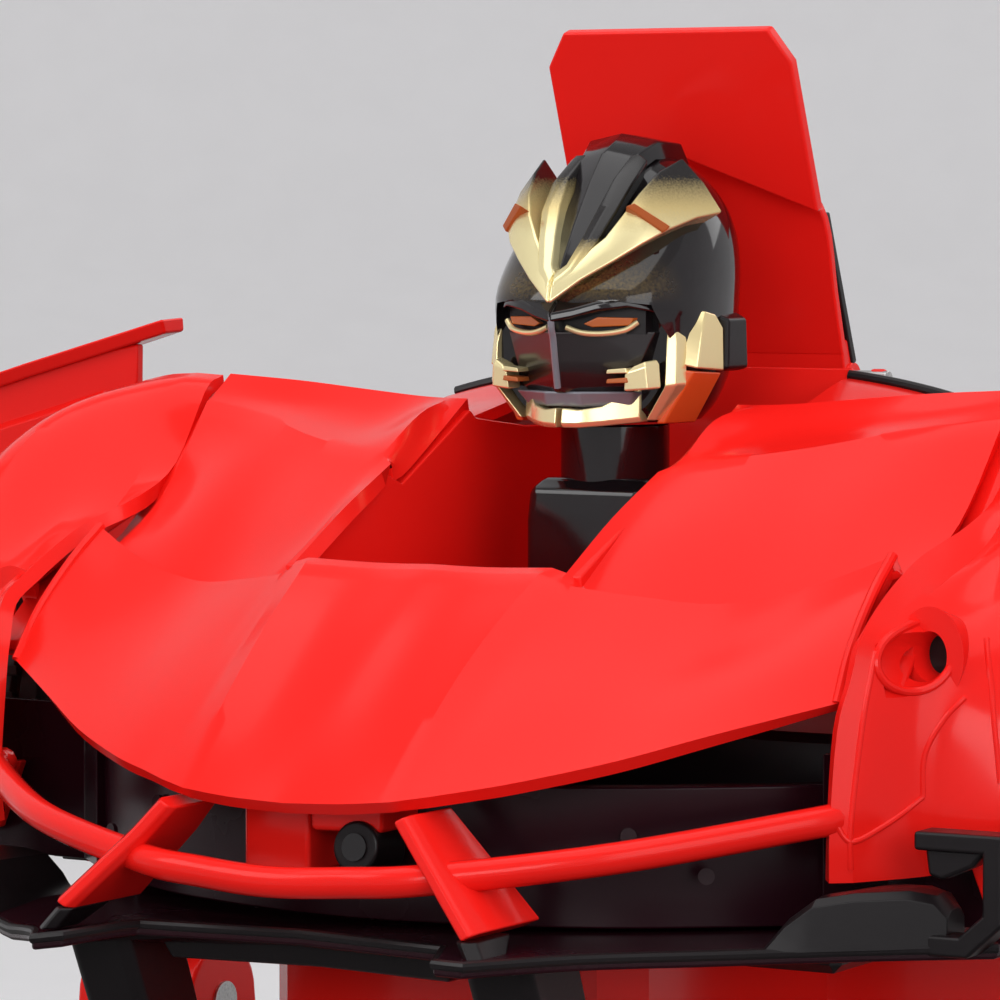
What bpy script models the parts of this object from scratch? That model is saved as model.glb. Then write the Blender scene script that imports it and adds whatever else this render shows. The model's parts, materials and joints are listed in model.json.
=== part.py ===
"""Transforming robot car, standing as a robot, for Blender 4.5.

Lengths are millimetres and turn into metres when a mesh is made. +Z is up, the robot faces -Y
and its left side is +X. Chest and head heights are measured from the tip of the bonnet.
"""
import math

import bmesh
import bpy
from mathutils import Matrix, Vector

MM = 0.001
NOSE_HEIGHT = 182.0          # bonnet tip above the soles
SHIFT_Y = 17.4               # centres the whole figure on the origin, front to back
GAP = 0.3                    # clearance between pieces that touch on the real toy
SHELL = 1.8                  # wall of the moulded body panels

HIP_Y, HIP_Z = 8.0, 112.0
KNEE_Z = 66.0
WAIST_Y, WAIST_Z = 22.0, 150.0
SHOULDER_Y, SHOULDER_Z = 31.5, 196.0
ELBOW_Z = 140.0
DOOR_X, DOOR_Z = 86.0, 200.0
NECK_Y = -2.0
ROOF_Y, ROOF_Z = 30.0, NOSE_HEIGHT + 41.6
FRONT_WHEEL_Y, FRONT_WHEEL_Z = -13.0, NOSE_HEIGHT + 1.0
FRONT_WHEEL_R, REAR_WHEEL_R = 18.5, 21.0
REAR_WHEEL_Y, REAR_WHEEL_Z = 22.0, 34.0
GEAR_R, PINION_R, GEAR_SPACING = 11.0, 3.6, 15.0
HEADLIGHT_R = 3.2
COCKPIT_HALF = 17.4          # half width of the hole that the head rises through

SLOTS = {
    "red_shell": ((0.80, 0.030, 0.020), 0.22, 0.0),
    "black_frame": ((0.012, 0.012, 0.013), 0.38, 0.0),
    "gloss_black": ((0.008, 0.008, 0.009), 0.15, 0.0),
    "gold_trim": ((0.72, 0.47, 0.14), 0.25, 0.9),
    "amber_lens": ((0.75, 0.22, 0.03), 0.15, 0.0),
    "steel": ((0.60, 0.60, 0.62), 0.30, 1.0),
    "gear_white": ((0.80, 0.79, 0.74), 0.45, 0.0),
    "tyre": ((0.018, 0.018, 0.018), 0.80, 0.0),
    "rim": ((0.25, 0.25, 0.26), 0.35, 0.6),
    "battery_wrap": ((0.05, 0.16, 0.35), 0.40, 0.0),
}


def clear_scene():
    for obj in list(bpy.data.objects):
        bpy.data.objects.remove(obj, do_unlink=True)


def new_collection(name):
    group = bpy.data.collections.new(name)
    bpy.context.scene.collection.children.link(group)
    return group


def slot_material(slot):
    found = bpy.data.materials.get(slot)
    if found:
        return found
    colour, roughness, metallic = SLOTS[slot]
    material = bpy.data.materials.new(slot)
    material.use_nodes = True
    shader = material.node_tree.nodes["Principled BSDF"]
    shader.inputs["Base Color"].default_value = (*colour, 1.0)
    shader.inputs["Roughness"].default_value = roughness
    shader.inputs["Metallic"].default_value = metallic
    return material


clear_scene()
PARTS = new_collection("transforming_robot_car")
CUTTERS = new_collection("cutters")


def world(x, y, z):
    """A point in millimetres as a place in metres."""
    return Vector((x, y + SHIFT_Y, z)) * MM


def chest(x, y, z):
    """A point measured from the bonnet tip's height, in millimetres above the soles."""
    return (x, y, z + NOSE_HEIGHT)


# ---------------------------------------------------------------- bodies and their pivots

def pivot(name, parent=None, at=(0.0, -SHIFT_Y, 0.0)):
    """An empty on a joint's axis, which carries the pieces of one moving body."""
    empty = bpy.data.objects.new("pivot_" + name, None)
    PARTS.objects.link(empty)
    spot = world(*at)
    if parent:
        empty.parent = parent
        spot = spot - place_of(parent)
    empty.location = spot
    empty.empty_display_size = 0.01
    return empty


def place_of(obj):
    spot = obj.location.copy()
    while obj.parent:
        obj = obj.parent
        spot += obj.location
    return spot


def settle(name, mesh, body, slot):
    """Puts a mesh that is drawn in world metres on its body, with its origin at its middle."""
    corners = [v.co for v in mesh.vertices]
    middle = sum(corners, Vector()) / len(corners)
    mesh.transform(Matrix.Translation(-middle))
    obj = bpy.data.objects.new(name, mesh)
    PARTS.objects.link(obj)
    obj.parent = body
    obj.location = middle - place_of(body)
    mesh.materials.append(slot_material(slot))
    return obj


def finish_mesh(name, bm, smooth=False):
    bmesh.ops.recalc_face_normals(bm, faces=bm.faces)
    mesh = bpy.data.meshes.new(name)
    bm.to_mesh(mesh)
    bm.free()
    if smooth:
        mesh.shade_smooth()
        mesh.set_sharp_from_angle(angle=math.radians(35))
    return mesh


def soften(obj, width, segments=1):
    bevel = obj.modifiers.new("edges", "BEVEL")
    bevel.width = width * MM
    bevel.segments = segments
    bevel.limit_method = "ANGLE"
    bevel.angle_limit = math.radians(40)
    return obj


# ---------------------------------------------------------------- shapes

def box_mesh(name, low, high):
    bm = bmesh.new()
    bmesh.ops.create_cube(bm, size=1.0)
    a, b = world(*low), world(*high)
    size = Matrix.Diagonal((*(b - a), 1.0))
    bmesh.ops.transform(bm, matrix=Matrix.Translation((a + b) / 2) @ size, verts=bm.verts)
    return finish_mesh(name, bm)


def rod_mesh(name, axis, at, radius, length, sides=28):
    bm = bmesh.new()
    bmesh.ops.create_cone(bm, cap_ends=True, segments=sides, radius1=radius * MM,
                          radius2=radius * MM, depth=length * MM)
    turn = Vector((0, 0, 1)).rotation_difference(Vector(axis)).to_matrix().to_4x4()
    bmesh.ops.transform(bm, matrix=Matrix.Translation(world(*at)) @ turn, verts=bm.verts)
    return finish_mesh(name, bm, smooth=True)


def outline_mesh(name, outline, axis, low, high):
    """A flat outline drawn as a filled 2D curve and extruded from low to high along an axis."""
    curve = bpy.data.curves.new(name, "CURVE")
    curve.dimensions = "2D"
    curve.fill_mode = "BOTH"
    curve.extrude = (high - low) / 2 * MM
    spline = curve.splines.new("POLY")
    spline.points.add(len(outline) - 1)
    for point, (u, v) in zip(spline.points, outline):
        point.co = (u * MM, v * MM, 0.0, 1.0)
    spline.use_cyclic_u = True
    holder = bpy.data.objects.new(name + "_outline", curve)
    CUTTERS.objects.link(holder)
    bpy.context.view_layer.update()
    drawn = holder.evaluated_get(bpy.context.evaluated_depsgraph_get())
    mesh = bpy.data.meshes.new_from_object(drawn)
    bpy.data.objects.remove(holder, do_unlink=True)
    middle = (low + high) / 2
    turns = {"X": Matrix(((0, 0, 1, 0), (1, 0, 0, 0), (0, 1, 0, 0), (0, 0, 0, 1))),
             "Y": Matrix(((1, 0, 0, 0), (0, 0, 1, 0), (0, 1, 0, 0), (0, 0, 0, 1))),
             "Z": Matrix.Identity(4)}
    slide = {"X": (middle, 0, 0), "Y": (0, middle, 0), "Z": (0, 0, middle)}[axis]
    mesh.transform(Matrix.Translation(world(*slide)) @ turns[axis])
    bm = bmesh.new()
    bm.from_mesh(mesh)
    bmesh.ops.remove_doubles(bm, verts=bm.verts, dist=1e-6)
    bpy.data.meshes.remove(mesh)
    return finish_mesh(name, bm)


def arc(y, z, radius, start, end, steps):
    """Points on an arc, in degrees, both ends included."""
    angles = [math.radians(start + (end - start) * i / steps) for i in range(steps + 1)]
    return [(y + radius * math.cos(a), z + radius * math.sin(a)) for a in angles]


def loft_mesh(name, rings, smooth=False):
    """A closed solid through rings of equal length, capped at both ends."""
    bm = bmesh.new()
    loops = [[bm.verts.new(world(*p)) for p in ring] for ring in rings]
    count = len(rings[0])
    for lower, upper in zip(loops, loops[1:]):
        for i in range(count):
            j = (i + 1) % count
            bm.faces.new((lower[i], lower[j], upper[j], upper[i]))
    bm.faces.new(loops[0][::-1])
    bm.faces.new(loops[-1])
    return finish_mesh(name, bm, smooth)


def sheet_mesh(name, patches, mirrored=False):
    """An open surface made of grids of columns; patches that share an edge are welded."""
    bm = bmesh.new()
    for columns in patches:
        for side in ((1, -1) if mirrored else (1,)):
            grid = [[bm.verts.new(world(x * side, y, z)) for x, y, z in col] for col in columns]
            for left, right in zip(grid, grid[1:]):
                for i in range(len(left) - 1):
                    bm.faces.new((left[i], right[i], right[i + 1], left[i + 1]))
    bmesh.ops.remove_doubles(bm, verts=bm.verts, dist=1e-5)
    return finish_mesh(name, bm, smooth=True)


def thicken(obj, thickness, offset=-1.0):
    solid = obj.modifiers.new("wall", "SOLIDIFY")
    solid.thickness = thickness * MM
    solid.offset = offset
    solid.use_even_offset = True
    return obj


def combine(obj, mesh, operation="DIFFERENCE"):
    """Cuts a shape out of a piece, joins it on or keeps what they share."""
    tool = bpy.data.objects.new(obj.name + "_tool", mesh)
    CUTTERS.objects.link(tool)
    tool.hide_render = True
    tool.display_type = "WIRE"
    boolean = obj.modifiers.new(operation.lower(), "BOOLEAN")
    boolean.operation = operation
    boolean.object = tool
    boolean.solver = "EXACT"
    return obj


def block(name, body, slot, low, high, edge=0.6):
    return soften(settle(name, box_mesh(name, low, high), body, slot), edge)


def rod(name, body, slot, axis, at, radius, length, sides=28):
    return settle(name, rod_mesh(name, axis, at, radius, length, sides), body, slot)


def prism(name, body, slot, outline, axis, low, high, edge=0.5):
    mesh = outline_mesh(name, outline, axis, low, high)
    return soften(settle(name, mesh, body, slot), edge)


def loft(name, body, slot, rings, smooth=False):
    return settle(name, loft_mesh(name, rings, smooth), body, slot)


def bore(obj, axis, at, radius, length=200.0):
    return combine(obj, rod_mesh(obj.name + "_bore", axis, at, radius, length))


# ---------------------------------------------------------------- pelvis and waist drive

def build_pelvis(body):
    frame = block("waist_frame", body, "black_frame", (-16, -5, 100), (16, 21, 123.5))
    combine(frame, box_mesh("waist_post", (-12, 11, 118), (12, 31, 157)), "UNION")
    bore(frame, (1, 0, 0), (0, HIP_Y, HIP_Z), 3.3)
    bore(frame, (1, 0, 0), (0, WAIST_Y, WAIST_Z), 2.8)
    rod("hip_shaft", body, "steel", (1, 0, 0), (0, HIP_Y, HIP_Z), 3.0, 78.0)
    rod("waist_shaft", body, "steel", (1, 0, 0), (0, WAIST_Y, WAIST_Z), 2.5, 54.0)
    motor_y, motor_z = WAIST_Y, WAIST_Z - GEAR_SPACING
    rod("transform_motor", body, "steel", (1, 0, 0), (16.3, motor_y, motor_z), 7.5, 8.0)


def gear_mesh(name, y, z, radius, teeth, low, high):
    """A spur gear outline: square teeth between the root and the tip circle."""
    root = radius - 1.1
    outline = []
    for tooth in range(teeth):
        for part, reach in ((0.0, root), (0.3, radius), (0.55, radius), (0.85, root)):
            angle = 2 * math.pi * (tooth + part) / teeth
            outline.append((y + reach * math.cos(angle), z + reach * math.sin(angle)))
    return outline_mesh(name, outline, "X", low, high)


def build_waist_drive(chest_body, pinion_body):
    mesh = gear_mesh("waist_gear", WAIST_Y, WAIST_Z, GEAR_R, 24, 21.0, 25.5)
    gear = settle("waist_gear", mesh, chest_body, "gear_white")
    bore(gear, (1, 0, 0), (23, WAIST_Y, WAIST_Z), 2.8, 20.0)
    centre_z = WAIST_Z - GEAR_SPACING
    mesh = gear_mesh("drive_pinion", WAIST_Y, centre_z, PINION_R, 8, 21.0, 25.5)
    settle("drive_pinion", mesh, pinion_body, "gear_white")


# ---------------------------------------------------------------- chest

HOOD_CENTRE = (
    ((0, -75, 0), (0, -66, 8.7), (0, -56.5, 16.2), (0, -46, 22.8), (0, -44.3, 23.3)),
    ((7, -75, 0.3), (7, -66, 8.6), (7, -56.5, 16), (7, -46, 22.6), (7, -44.3, 23.2)),
    ((12.9, -74.4, 0.8), (13.3, -65.8, 9.3), (14, -56.3, 16.8), (15, -46.7, 22.9), (15.6, -44.8, 23.5)),
    ((16.6, -73, 1.4), (16.8, -64.5, 8.7), (17, -55, 15.8), (17.2, -46.6, 22), (17.4, -44.8, 23)),
)
HOOD_SIDE = (
    HOOD_CENTRE[3] + ((17.4, -34.5, 28.4), (17.4, -25, 33.3), (17.6, -17.4, 33.9), (18, -5.6, 39.9)),
    ((20, -71.3, 2), (20, -63, 9), (20, -53.5, 15.6), (20, -45.2, 21.4), (20, -43.4, 20.6),
     (20, -33, 27.4), (20, -22.4, 33.9), (19.8, -12, 36.8), (20.4, -5.5, 39.9)),
    ((25, -68.5, 3), (25, -60, 9.4), (25, -51, 15.3), (25, -42.6, 20.6), (25, -40.8, 18.4),
     (25, -31, 27), (25, -20.4, 34.6), (25, -12.6, 36.9), (25, -5.3, 40.1)),
    ((33, -62.5, 5), (33, -54.5, 10.3), (33, -46, 15.3), (33, -38.4, 19.8), (33, -36.6, 17),
     (33, -27, 27), (33, -16.6, 35.8), (33, -10.8, 37.6), (33, -5, 40.8)),
    ((41, -55.2, 7.6), (41, -48.5, 12.6), (41.2, -41.5, 17.2), (41.5, -35, 21.6), (41.8, -33.2, 18.4),
     (42, -23, 28.4), (42, -11.8, 37.6), (42, -8, 39), (42, -4.6, 41.6)),
    ((50.9, -45.9, 10.6), (50.6, -42, 16), (50.2, -36, 21.4), (49.9, -30.4, 25.2), (50.2, -28, 21.6),
     (50.6, -17.5, 28), (52, -8.6, 39), (52, -6, 40.6), (52, -3.6, 42.2)),
)
FENDER = (
    ((51.6, -49.6, -8), (51.8, -49.9, -2), (52, -48.6, 8), (52.6, -46.8, 13), (52.9, -44.8, 17.6),
     (52.6, -40, 20.6), (52.9, -34.5, 23.2), (53, -28.5, 25.4), (54.2, -19, 28), (54.4, -12.4, 31.6),
     (54, -7.4, 40.2), (54, -3.4, 42)),
    ((53.6, -48, -8), (53.8, -48.4, -2), (54.2, -46.6, 8), (54.4, -45, 13), (54.6, -43, 17.2),
     (54.8, -39, 19), (55, -34, 20.8), (55.4, -28, 22.9), (56.2, -19.6, 26.4), (57, -12.4, 33.6),
     (57.6, -7.8, 40.8), (57.8, -3.4, 42.2)),
    ((58, -39.7, -8), (58, -41, -2), (58.4, -40.4, 8), (58.6, -39, 13), (59, -36.5, 16.6),
     (59.6, -33, 18.8), (60, -29.2, 21), (60.6, -24.8, 24.6), (61.4, -19, 30.4), (62, -13.6, 36.2),
     (62.4, -8.8, 40.4), (62.6, -3.4, 41.8)),
    ((62, -38.5, -7), (63.5, -39, -2), (65, -37.5, 7), (66, -35.4, 12), (66.6, -33, 16.2),
     (67, -30.8, 19.8), (67.2, -28.2, 24), (67.4, -25, 28.8), (67.6, -21, 33.4), (67.8, -16.2, 37),
     (68, -10.8, 39.2), (68, -3.4, 40.2)),
    ((66, -37.5, -5), (69.5, -37.6, -1), (72, -35.6, 5), (73, -33.6, 9.6), (73.6, -31.6, 13.8),
     (74, -29.8, 17.8), (74, -27.4, 22), (74, -24.4, 26.4), (74, -20.4, 30.6), (74, -16, 33.8),
     (74, -11, 35.6), (73.6, -3.4, 36.4)),
)
SPLITTER_HALF = ((0, -71.5), (19, -74), (23, -82.6), (26.6, -83), (34, -72.5), (45, -62.8),
                 (57, -52), (68, -43.5), (68, -40), (52, -37), (0, -37))
SPLITTER_TOP = -13.8
SPLITTER_LOW = -15.8
BAR_PATH = ((0, -77.8, -8), (18, -75.2, -6.9), (35, -65.8, -4.6), (51.2, -50.6, -1.6))


def chest_columns(columns, side=1):
    return [[chest(x * side, y, z) for x, y, z in column] for column in columns]


def build_panels(body):
    patches = [chest_columns(HOOD_CENTRE), chest_columns(HOOD_SIDE)]
    hood = settle("hood_shell", sheet_mesh("hood_shell", patches, mirrored=True), body, "red_shell")
    face_outward(hood, Vector((0, 0, 1)))
    thicken(hood, SHELL)
    for side, word in ((1, "left"), (-1, "right")):
        name = word + "_fender"
        mesh = sheet_mesh(name, [chest_columns(FENDER, side)])
        fender = settle(name, mesh, body, "red_shell")
        face_outward(fender, Vector((side, -0.6, 1)))
        thicken(fender, SHELL)
        bore(fender, (0, 1, 0), chest(side * 58.2, -38, 14), HEADLIGHT_R, 20.0)


def face_outward(obj, way):
    """Turns an open surface's faces so that the greater part of it looks along one way."""
    total = sum((p.normal * p.area for p in obj.data.polygons), Vector())
    if total.dot(way) < 0:
        obj.data.flip_normals()


def bar_rings(half, tall):
    """Rings of the bumper bar's section from its right end to its left end."""
    path = [(-x, y, z) for x, y, z in BAR_PATH[:0:-1]] + list(BAR_PATH)
    rings = []
    for i, (x, y, z) in enumerate(path):
        before, after = path[max(i - 1, 0)], path[min(i + 1, len(path) - 1)]
        along = Vector((after[0] - before[0], after[1] - before[1], 0)).normalized()
        out = Vector((along.y, -along.x, 0)) * half
        rings.append([chest(x + out.x * u, y + out.y * u, z + tall * v)
                      for u, v in ((1, -1), (1, 1), (-1, 1), (-1, -1))])
    return rings


def build_nose(body):
    soften(loft("nose_bar", body, "red_shell", bar_rings(1.5, 1.7)), 0.5)
    thick = Vector((0.72, 0.0, 0.69)) * -2.0
    for side, word in ((1, "left"), (-1, "right")):
        corners = ((15.2, -75.4, -1.9), (25, -79.6, -11.9), (25, -66, -11.9), (15.2, -66.5, -1.9))
        back = [(x + thick.x, y, z + thick.z) for x, y, z in corners]
        rings = [[chest(x * side, y, z) for x, y, z in ring] for ring in (corners, back)]
        fin = loft(word + "_nose_fin", body, "red_shell", rings)
        combine(fin, loft_mesh("bar_slot", bar_rings(1.5 + GAP, 1.7 + GAP)))


def build_splitter(body):
    outline = list(SPLITTER_HALF) + [(-x, y) for x, y in SPLITTER_HALF[-2:0:-1]]
    low, high = NOSE_HEIGHT + SPLITTER_LOW, NOSE_HEIGHT + SPLITTER_TOP
    splitter = settle("front_splitter", outline_mesh("front_splitter", outline, "Z", low, high),
                      body, "black_frame")
    step = ((-18.5, -71.8), (0, -69.4), (18.5, -71.8), (18.5, -64), (-18.5, -64))
    combine(splitter, outline_mesh("splitter_step", step, "Z", low - 2.8, low + 1), "UNION")
    for side, word in ((1, "left"), (-1, "right")):
        rings = []
        for x, rise in ((48.5, 0.6), (52.5, 4.6), (57, 5.0), (60.1, 4.4)):
            front = -70.0 + (x - 43) * 0.95
            base = SPLITTER_TOP + GAP
            profile = ((front, base), (front + 3.5, base + rise), (front + 11, base + rise + 0.6),
                       (front + 11, base + rise - 0.5), (front + 4.5, base + max(rise - 1.6, 0.2)),
                       (front + 2.0, base))
            rings.append([chest(x * side, y, z) for y, z in profile])
        loft(word + "_splitter_blister", body, "gloss_black", rings)
        foot = NOSE_HEIGHT + SPLITTER_LOW + 0.7
        frame = ((60.5, foot), (66.6, foot), (70.6, foot + 3.6), (70.6, foot + 13), (60.5, foot + 13),
                 (60.5, foot + 11), (68.3, foot + 11), (68.3, foot + 4.6), (65.6, foot + 2.2),
                 (60.5, foot + 2.2))
        outline = [(x * side, z) for x, z in frame]
        combine(splitter, outline_mesh("end_plate", outline, "Y", -48, -43.6), "UNION")


def wall_rings(path, thickness, low, high):
    """Rings of an upright wall that follows a path seen from above."""
    rings = []
    for i, (x, y) in enumerate(path):
        before, after = path[max(i - 1, 0)], path[min(i + 1, len(path) - 1)]
        along = Vector((after[0] - before[0], after[1] - before[1])).normalized()
        nx, ny = -along.y * thickness, along.x * thickness
        rings.append([chest(x, y, low), chest(x, y, high),
                      chest(x + nx, y + ny, high), chest(x + nx, y + ny, low)])
    return rings


def build_chassis(body):
    top, low = NOSE_HEIGHT + 6, NOSE_HEIGHT - 20
    frame = block("chassis_frame", body, "black_frame", (-46, -36, low), (46, 36, top), 1.0)
    for side in (1, -1):
        x0, x1 = sorted((side * 14, side * 20))
        lug = [(15.0, low + 4)] + arc(WAIST_Y, WAIST_Z, 7.0, 180, 360, 10) + [(29.0, low + 4)]
        combine(frame, outline_mesh("waist_lug", lug, "X", x0, x1), "UNION")
        x0, x1 = sorted((side * 38, side * 44))
        ear = box_mesh("shoulder_lug", (x0, 26, top - 2), (x1, 35.5, SHOULDER_Z + 5.5))
        combine(frame, ear, "UNION")
    bore(frame, (1, 0, 0), (0, WAIST_Y, WAIST_Z), 2.8)
    bore(frame, (1, 0, 0), (0, SHOULDER_Y, SHOULDER_Z), 3.3)
    bore(frame, (1, 0, 0), (0, FRONT_WHEEL_Y, FRONT_WHEEL_Z), 2.3)
    combine(frame, box_mesh("neck_well", (-8.6, -10.6, low - 5), (8.6, 6.6, top + 5)))
    path = [(-49, -38), (-40, -46), (-24, -56), (0, -61), (24, -56), (40, -46), (49, -38)]
    loft("grille_backing", body, "black_frame", wall_rings(path, 2.0, SPLITTER_TOP + GAP, 1.5))
    axle_at = (0, FRONT_WHEEL_Y, FRONT_WHEEL_Z)
    rod("front_axle", body, "steel", (1, 0, 0), axle_at, 2.0, 139.0)
    shoulder_at = (0, SHOULDER_Y, SHOULDER_Z)
    rod("shoulder_bar", body, "steel", (1, 0, 0), shoulder_at, 3.0, 184.0)


def build_cockpit(body):
    half, wall = COCKPIT_HALF, 1.5
    floor = NOSE_HEIGHT + 6.5
    rim = [(-43.6, 18), (-34.6, 23.8), (-25.4, 29), (-17, 30), (-6, 35.2), (27.6, 36.2)]
    outline = [(-43.6, floor), (27.6, floor)] + [(y, z + NOSE_HEIGHT) for y, z in rim[::-1]]
    mesh = outline_mesh("cockpit_tub", outline, "X", -half - wall, half + wall)
    tub = settle("cockpit_tub", mesh, body, "red_shell")
    inner = box_mesh("tub_space", (-half, -43.6 + wall, floor + wall), (half, 27.6 - wall, 260))
    combine(tub, inner)
    combine(tub, box_mesh("neck_hole", (-8.6, -10.6, floor - 5), (8.6, 6.6, floor + 5)))
    low, high = NOSE_HEIGHT + 36.6, NOSE_HEIGHT + 38.4
    deck = ((17.7, -2), (30, -2), (35, 6), (33, 24), (28, 34), (-28, 34), (-33, 24), (-35, 6),
            (-30, -2), (-17.7, -2), (-17.7, 27.4), (17.7, 27.4))
    plate = prism("rear_deck", body, "red_shell", deck, "Z", low, high, 0.4)
    for side in (1, -1):
        x0, x1 = sorted((side * 17.6, side * 20))
        combine(plate, box_mesh("roof_lug", (x0, 28.2, low + 0.5), (x1, 31.8, ROOF_Z + 2)), "UNION")
    bore(plate, (1, 0, 0), (0, ROOF_Y, ROOF_Z), 1.2 + GAP)
    rod("roof_hinge_pin", body, "steel", (1, 0, 0), (0, ROOF_Y, ROOF_Z), 1.2, 40.5, 20)


def build_back(body, switch_body):
    low, high = NOSE_HEIGHT - 16, NOSE_HEIGHT + 32
    housing = block("back_housing", body, "black_frame", (-30, 36.4, low), (30, 46.4, high), 1.0)
    combine(housing, box_mesh("battery_bay", (-26, 38, low + 4), (26, 50, high - 4)))
    block("battery_pack", body, "battery_wrap", (-24, 38.4, low + 6), (24, 45.8, high - 6), 1.5)
    block("battery_cover", body, "black_frame", (-29, 46.7, low + 1), (29, 48.2, high - 1), 0.4)
    switch = block("power_switch", switch_body, "gloss_black", (-41, 36.4, 170), (-35, 39.4, 176))
    combine(switch, box_mesh("thumb_notch", (-42, 38.8, 172.5), (-34, 41, 173.5)))


def build_belly(body):
    path = ((-45, 10), (-24, 6), (-24, -38), (-20, -42.6), (20, -42.6), (24, -38), (24, 6), (45, 10))
    rings = []
    for i, (x, y) in enumerate(path):
        before, after = path[max(i - 1, 0)], path[min(i + 1, len(path) - 1)]
        into = Vector((before[1] - after[1], after[0] - before[0])).normalized() * 2.4
        rings.append([(x, y, 127), (x, y, 161.6), (x + into.x, y + into.y, 161.6),
                      (x + into.x, y + into.y, 127)])
    loft("belly_shell", body, "red_shell", rings)
    for side, word in ((1, "left"), (-1, "right")):
        rings = []
        for y, z in ((-68, SPLITTER_LOW - GAP), (-53, -49)):
            rings.append([chest(side * (25 + dx), y + dy, z)
                          for dx, dy in ((-3.5, -5), (3.5, -5), (3.5, 5), (-3.5, 5))])
        soften(loft(word + "_waist_strut", body, "black_frame", rings), 0.6)


# ---------------------------------------------------------------- head

def oval(across, deep, middle_y, height, count=20):
    """A rounded ring, squarer than an ellipse, at one height above the bonnet tip."""
    ring = []
    for i in range(count):
        angle = 2 * math.pi * i / count
        c, s = math.cos(angle), math.sin(angle)
        power = 0.85
        x = across * math.copysign(abs(c) ** power, c)
        y = deep * math.copysign(abs(s) ** power, s)
        ring.append(chest(x, middle_y + y, height))
    return ring


HELMET = ((40, 8.5, 7.5, 0.6), (44, 11.9, 11.0, -0.6), (50, 13.0, 13.0, -2.0), (56, 13.2, 13.6, -2.2),
          (61, 12.4, 13.0, -2.2), (65, 9.8, 10.6, -2.0), (68, 5.6, 7.0, -2.0), (69, 2.6, 3.6, -2.0))


def helmet_mesh(name, extra=0.0):
    rings = [oval(a + extra, b + extra, y, z + extra * (z - 50) / 19) for z, a, b, y in HELMET]
    return loft_mesh(name, rings, smooth=True)


def faceted(name, body, slot, half_outline, low, high, narrow=1.0):
    """An upright block with a mirrored outline seen from above, narrower at its foot."""
    outline = list(half_outline) + [(-x, y) for x, y in reversed(half_outline) if x > 0]
    foot = [chest(x * narrow, y * narrow - 6 * (1 - narrow), low) for x, y in outline]
    head = [chest(x, y, high) for x, y in outline]
    return loft(name, body, slot, [foot, head])


def build_head(body):
    helmet = settle("helmet", helmet_mesh("helmet"), body, "gloss_black")
    combine(helmet, box_mesh("face_space", chest(-20, -25, 30), chest(20, -5.4, 51.2)))
    mask = ((0, -16.4), (3, -15.6), (8.2, -11.8), (9.1, -5.8))
    faceted("face_mask", body, "gloss_black", mask, 41.4, 48.0, 0.92)
    lens = ((0, -14.2), (3, -13.8), (8, -11), (9.0, -5.8))
    faceted("eye_lens", body, "amber_lens", lens, 48.3, 50.8)
    chin = ((0, -15.0), (3, -14.6), (7, -11.6), (8.0, -5.8))
    faceted("chin_guard", body, "gold_trim", chin, 37.6, 41.0, 0.85)
    for side, word in ((1, "left"), (-1, "right")):
        rings = []
        for z, inset in ((38.6, 1.6), (43, 0.2), (50.9, 0.0)):
            points = ((9.6, -5.8), (13.3 - inset, -5.8), (12.7 - inset, -10), (9.6, -13.0 + inset))
            rings.append([chest(x * side, y, z) for x, y in points])
        loft(word + "_cheek_guard", body, "gold_trim", rings)
    crest_outline = [(0, 51.6), (3.2, 55), (13.2, 60.5), (12.4, 66.5), (3.4, 59.6), (0, 58.2),
                     (-3.4, 59.6), (-12.4, 66.5), (-13.2, 60.5), (-3.2, 55)]
    outline = [(x, z + NOSE_HEIGHT) for x, z in crest_outline]
    crest = settle("crest", outline_mesh("crest", outline, "Y", -22, -3), body, "gold_trim")
    combine(crest, helmet_mesh("crest_outer", 1.3), "INTERSECT")
    combine(crest, helmet_mesh("crest_inner", GAP))


def build_neck(body):
    low, high = NOSE_HEIGHT - 2, NOSE_HEIGHT + 31
    post = block("neck_post", body, "black_frame", (-8, -10, low), (8, 6, high), 0.8)
    stem = rod_mesh("neck_stem", (0, 0, 1), chest(0, NECK_Y, 33.6), 6.4, 7.2)
    combine(post, stem, "UNION")


# ---------------------------------------------------------------- roof panel behind the head

def build_roof(body):
    panel = ((43.4, 15.6, 28.4), (61.4, 15.6, 21.8), (63.2, 17.0, 20.8), (80, 16.8, 13.8),
             (84, 14.2, 12.4))
    backing = ((43.4, 16.3, 30.5), (61.6, 16.3, 23.9))
    for name, slot, stations, wall in (("roof_panel", "red_shell", panel, 1.8),
                                       ("roof_liner", "black_frame", backing, 1.2)):
        rings = [[chest(-half, y, z), chest(half, y, z), chest(half, y + wall, z),
                  chest(-half, y + wall, z)] for z, half, y in stations]
        loft(name, body, slot, rings)


# ---------------------------------------------------------------- limbs

def capsule(y, top, low, radius):
    return arc(y, top, radius, 0, 180, 10) + arc(y, low, radius, 180, 360, 10)


def build_link(name, body, slot, inner, outer, y, top, low, radius, holes, armour):
    """A straight link with a round end on each pivot, a hole through each and a wide middle."""
    link = prism(name, body, slot, capsule(y, top, low, radius), "X", inner, outer, 0.6)
    combine(link, armour, "UNION")
    bore(link, (1, 0, 0), (0, y, top), holes[0], 400)
    bore(link, (1, 0, 0), (0, y, low), holes[1], 400)
    return link


def build_fork(name, body, slot, outline, outer, slot_span, floor, pin_at, pin_radius):
    """A lower limb with a slot for the link above it and a pin across the slot."""
    limb = prism(name, body, slot, outline, "X", outer[0], outer[1], 0.8)
    y, z = pin_at
    low, high = (slot_span[0], y - 60, floor), (slot_span[1], y + 60, z + 40)
    combine(limb, box_mesh("fork_slot", low, high))
    middle = (outer[0] + outer[1]) / 2
    pin = rod_mesh("fork_pin", (1, 0, 0), (middle, y, z), pin_radius, outer[1] - outer[0] - 4)
    return combine(limb, pin, "UNION")


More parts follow.
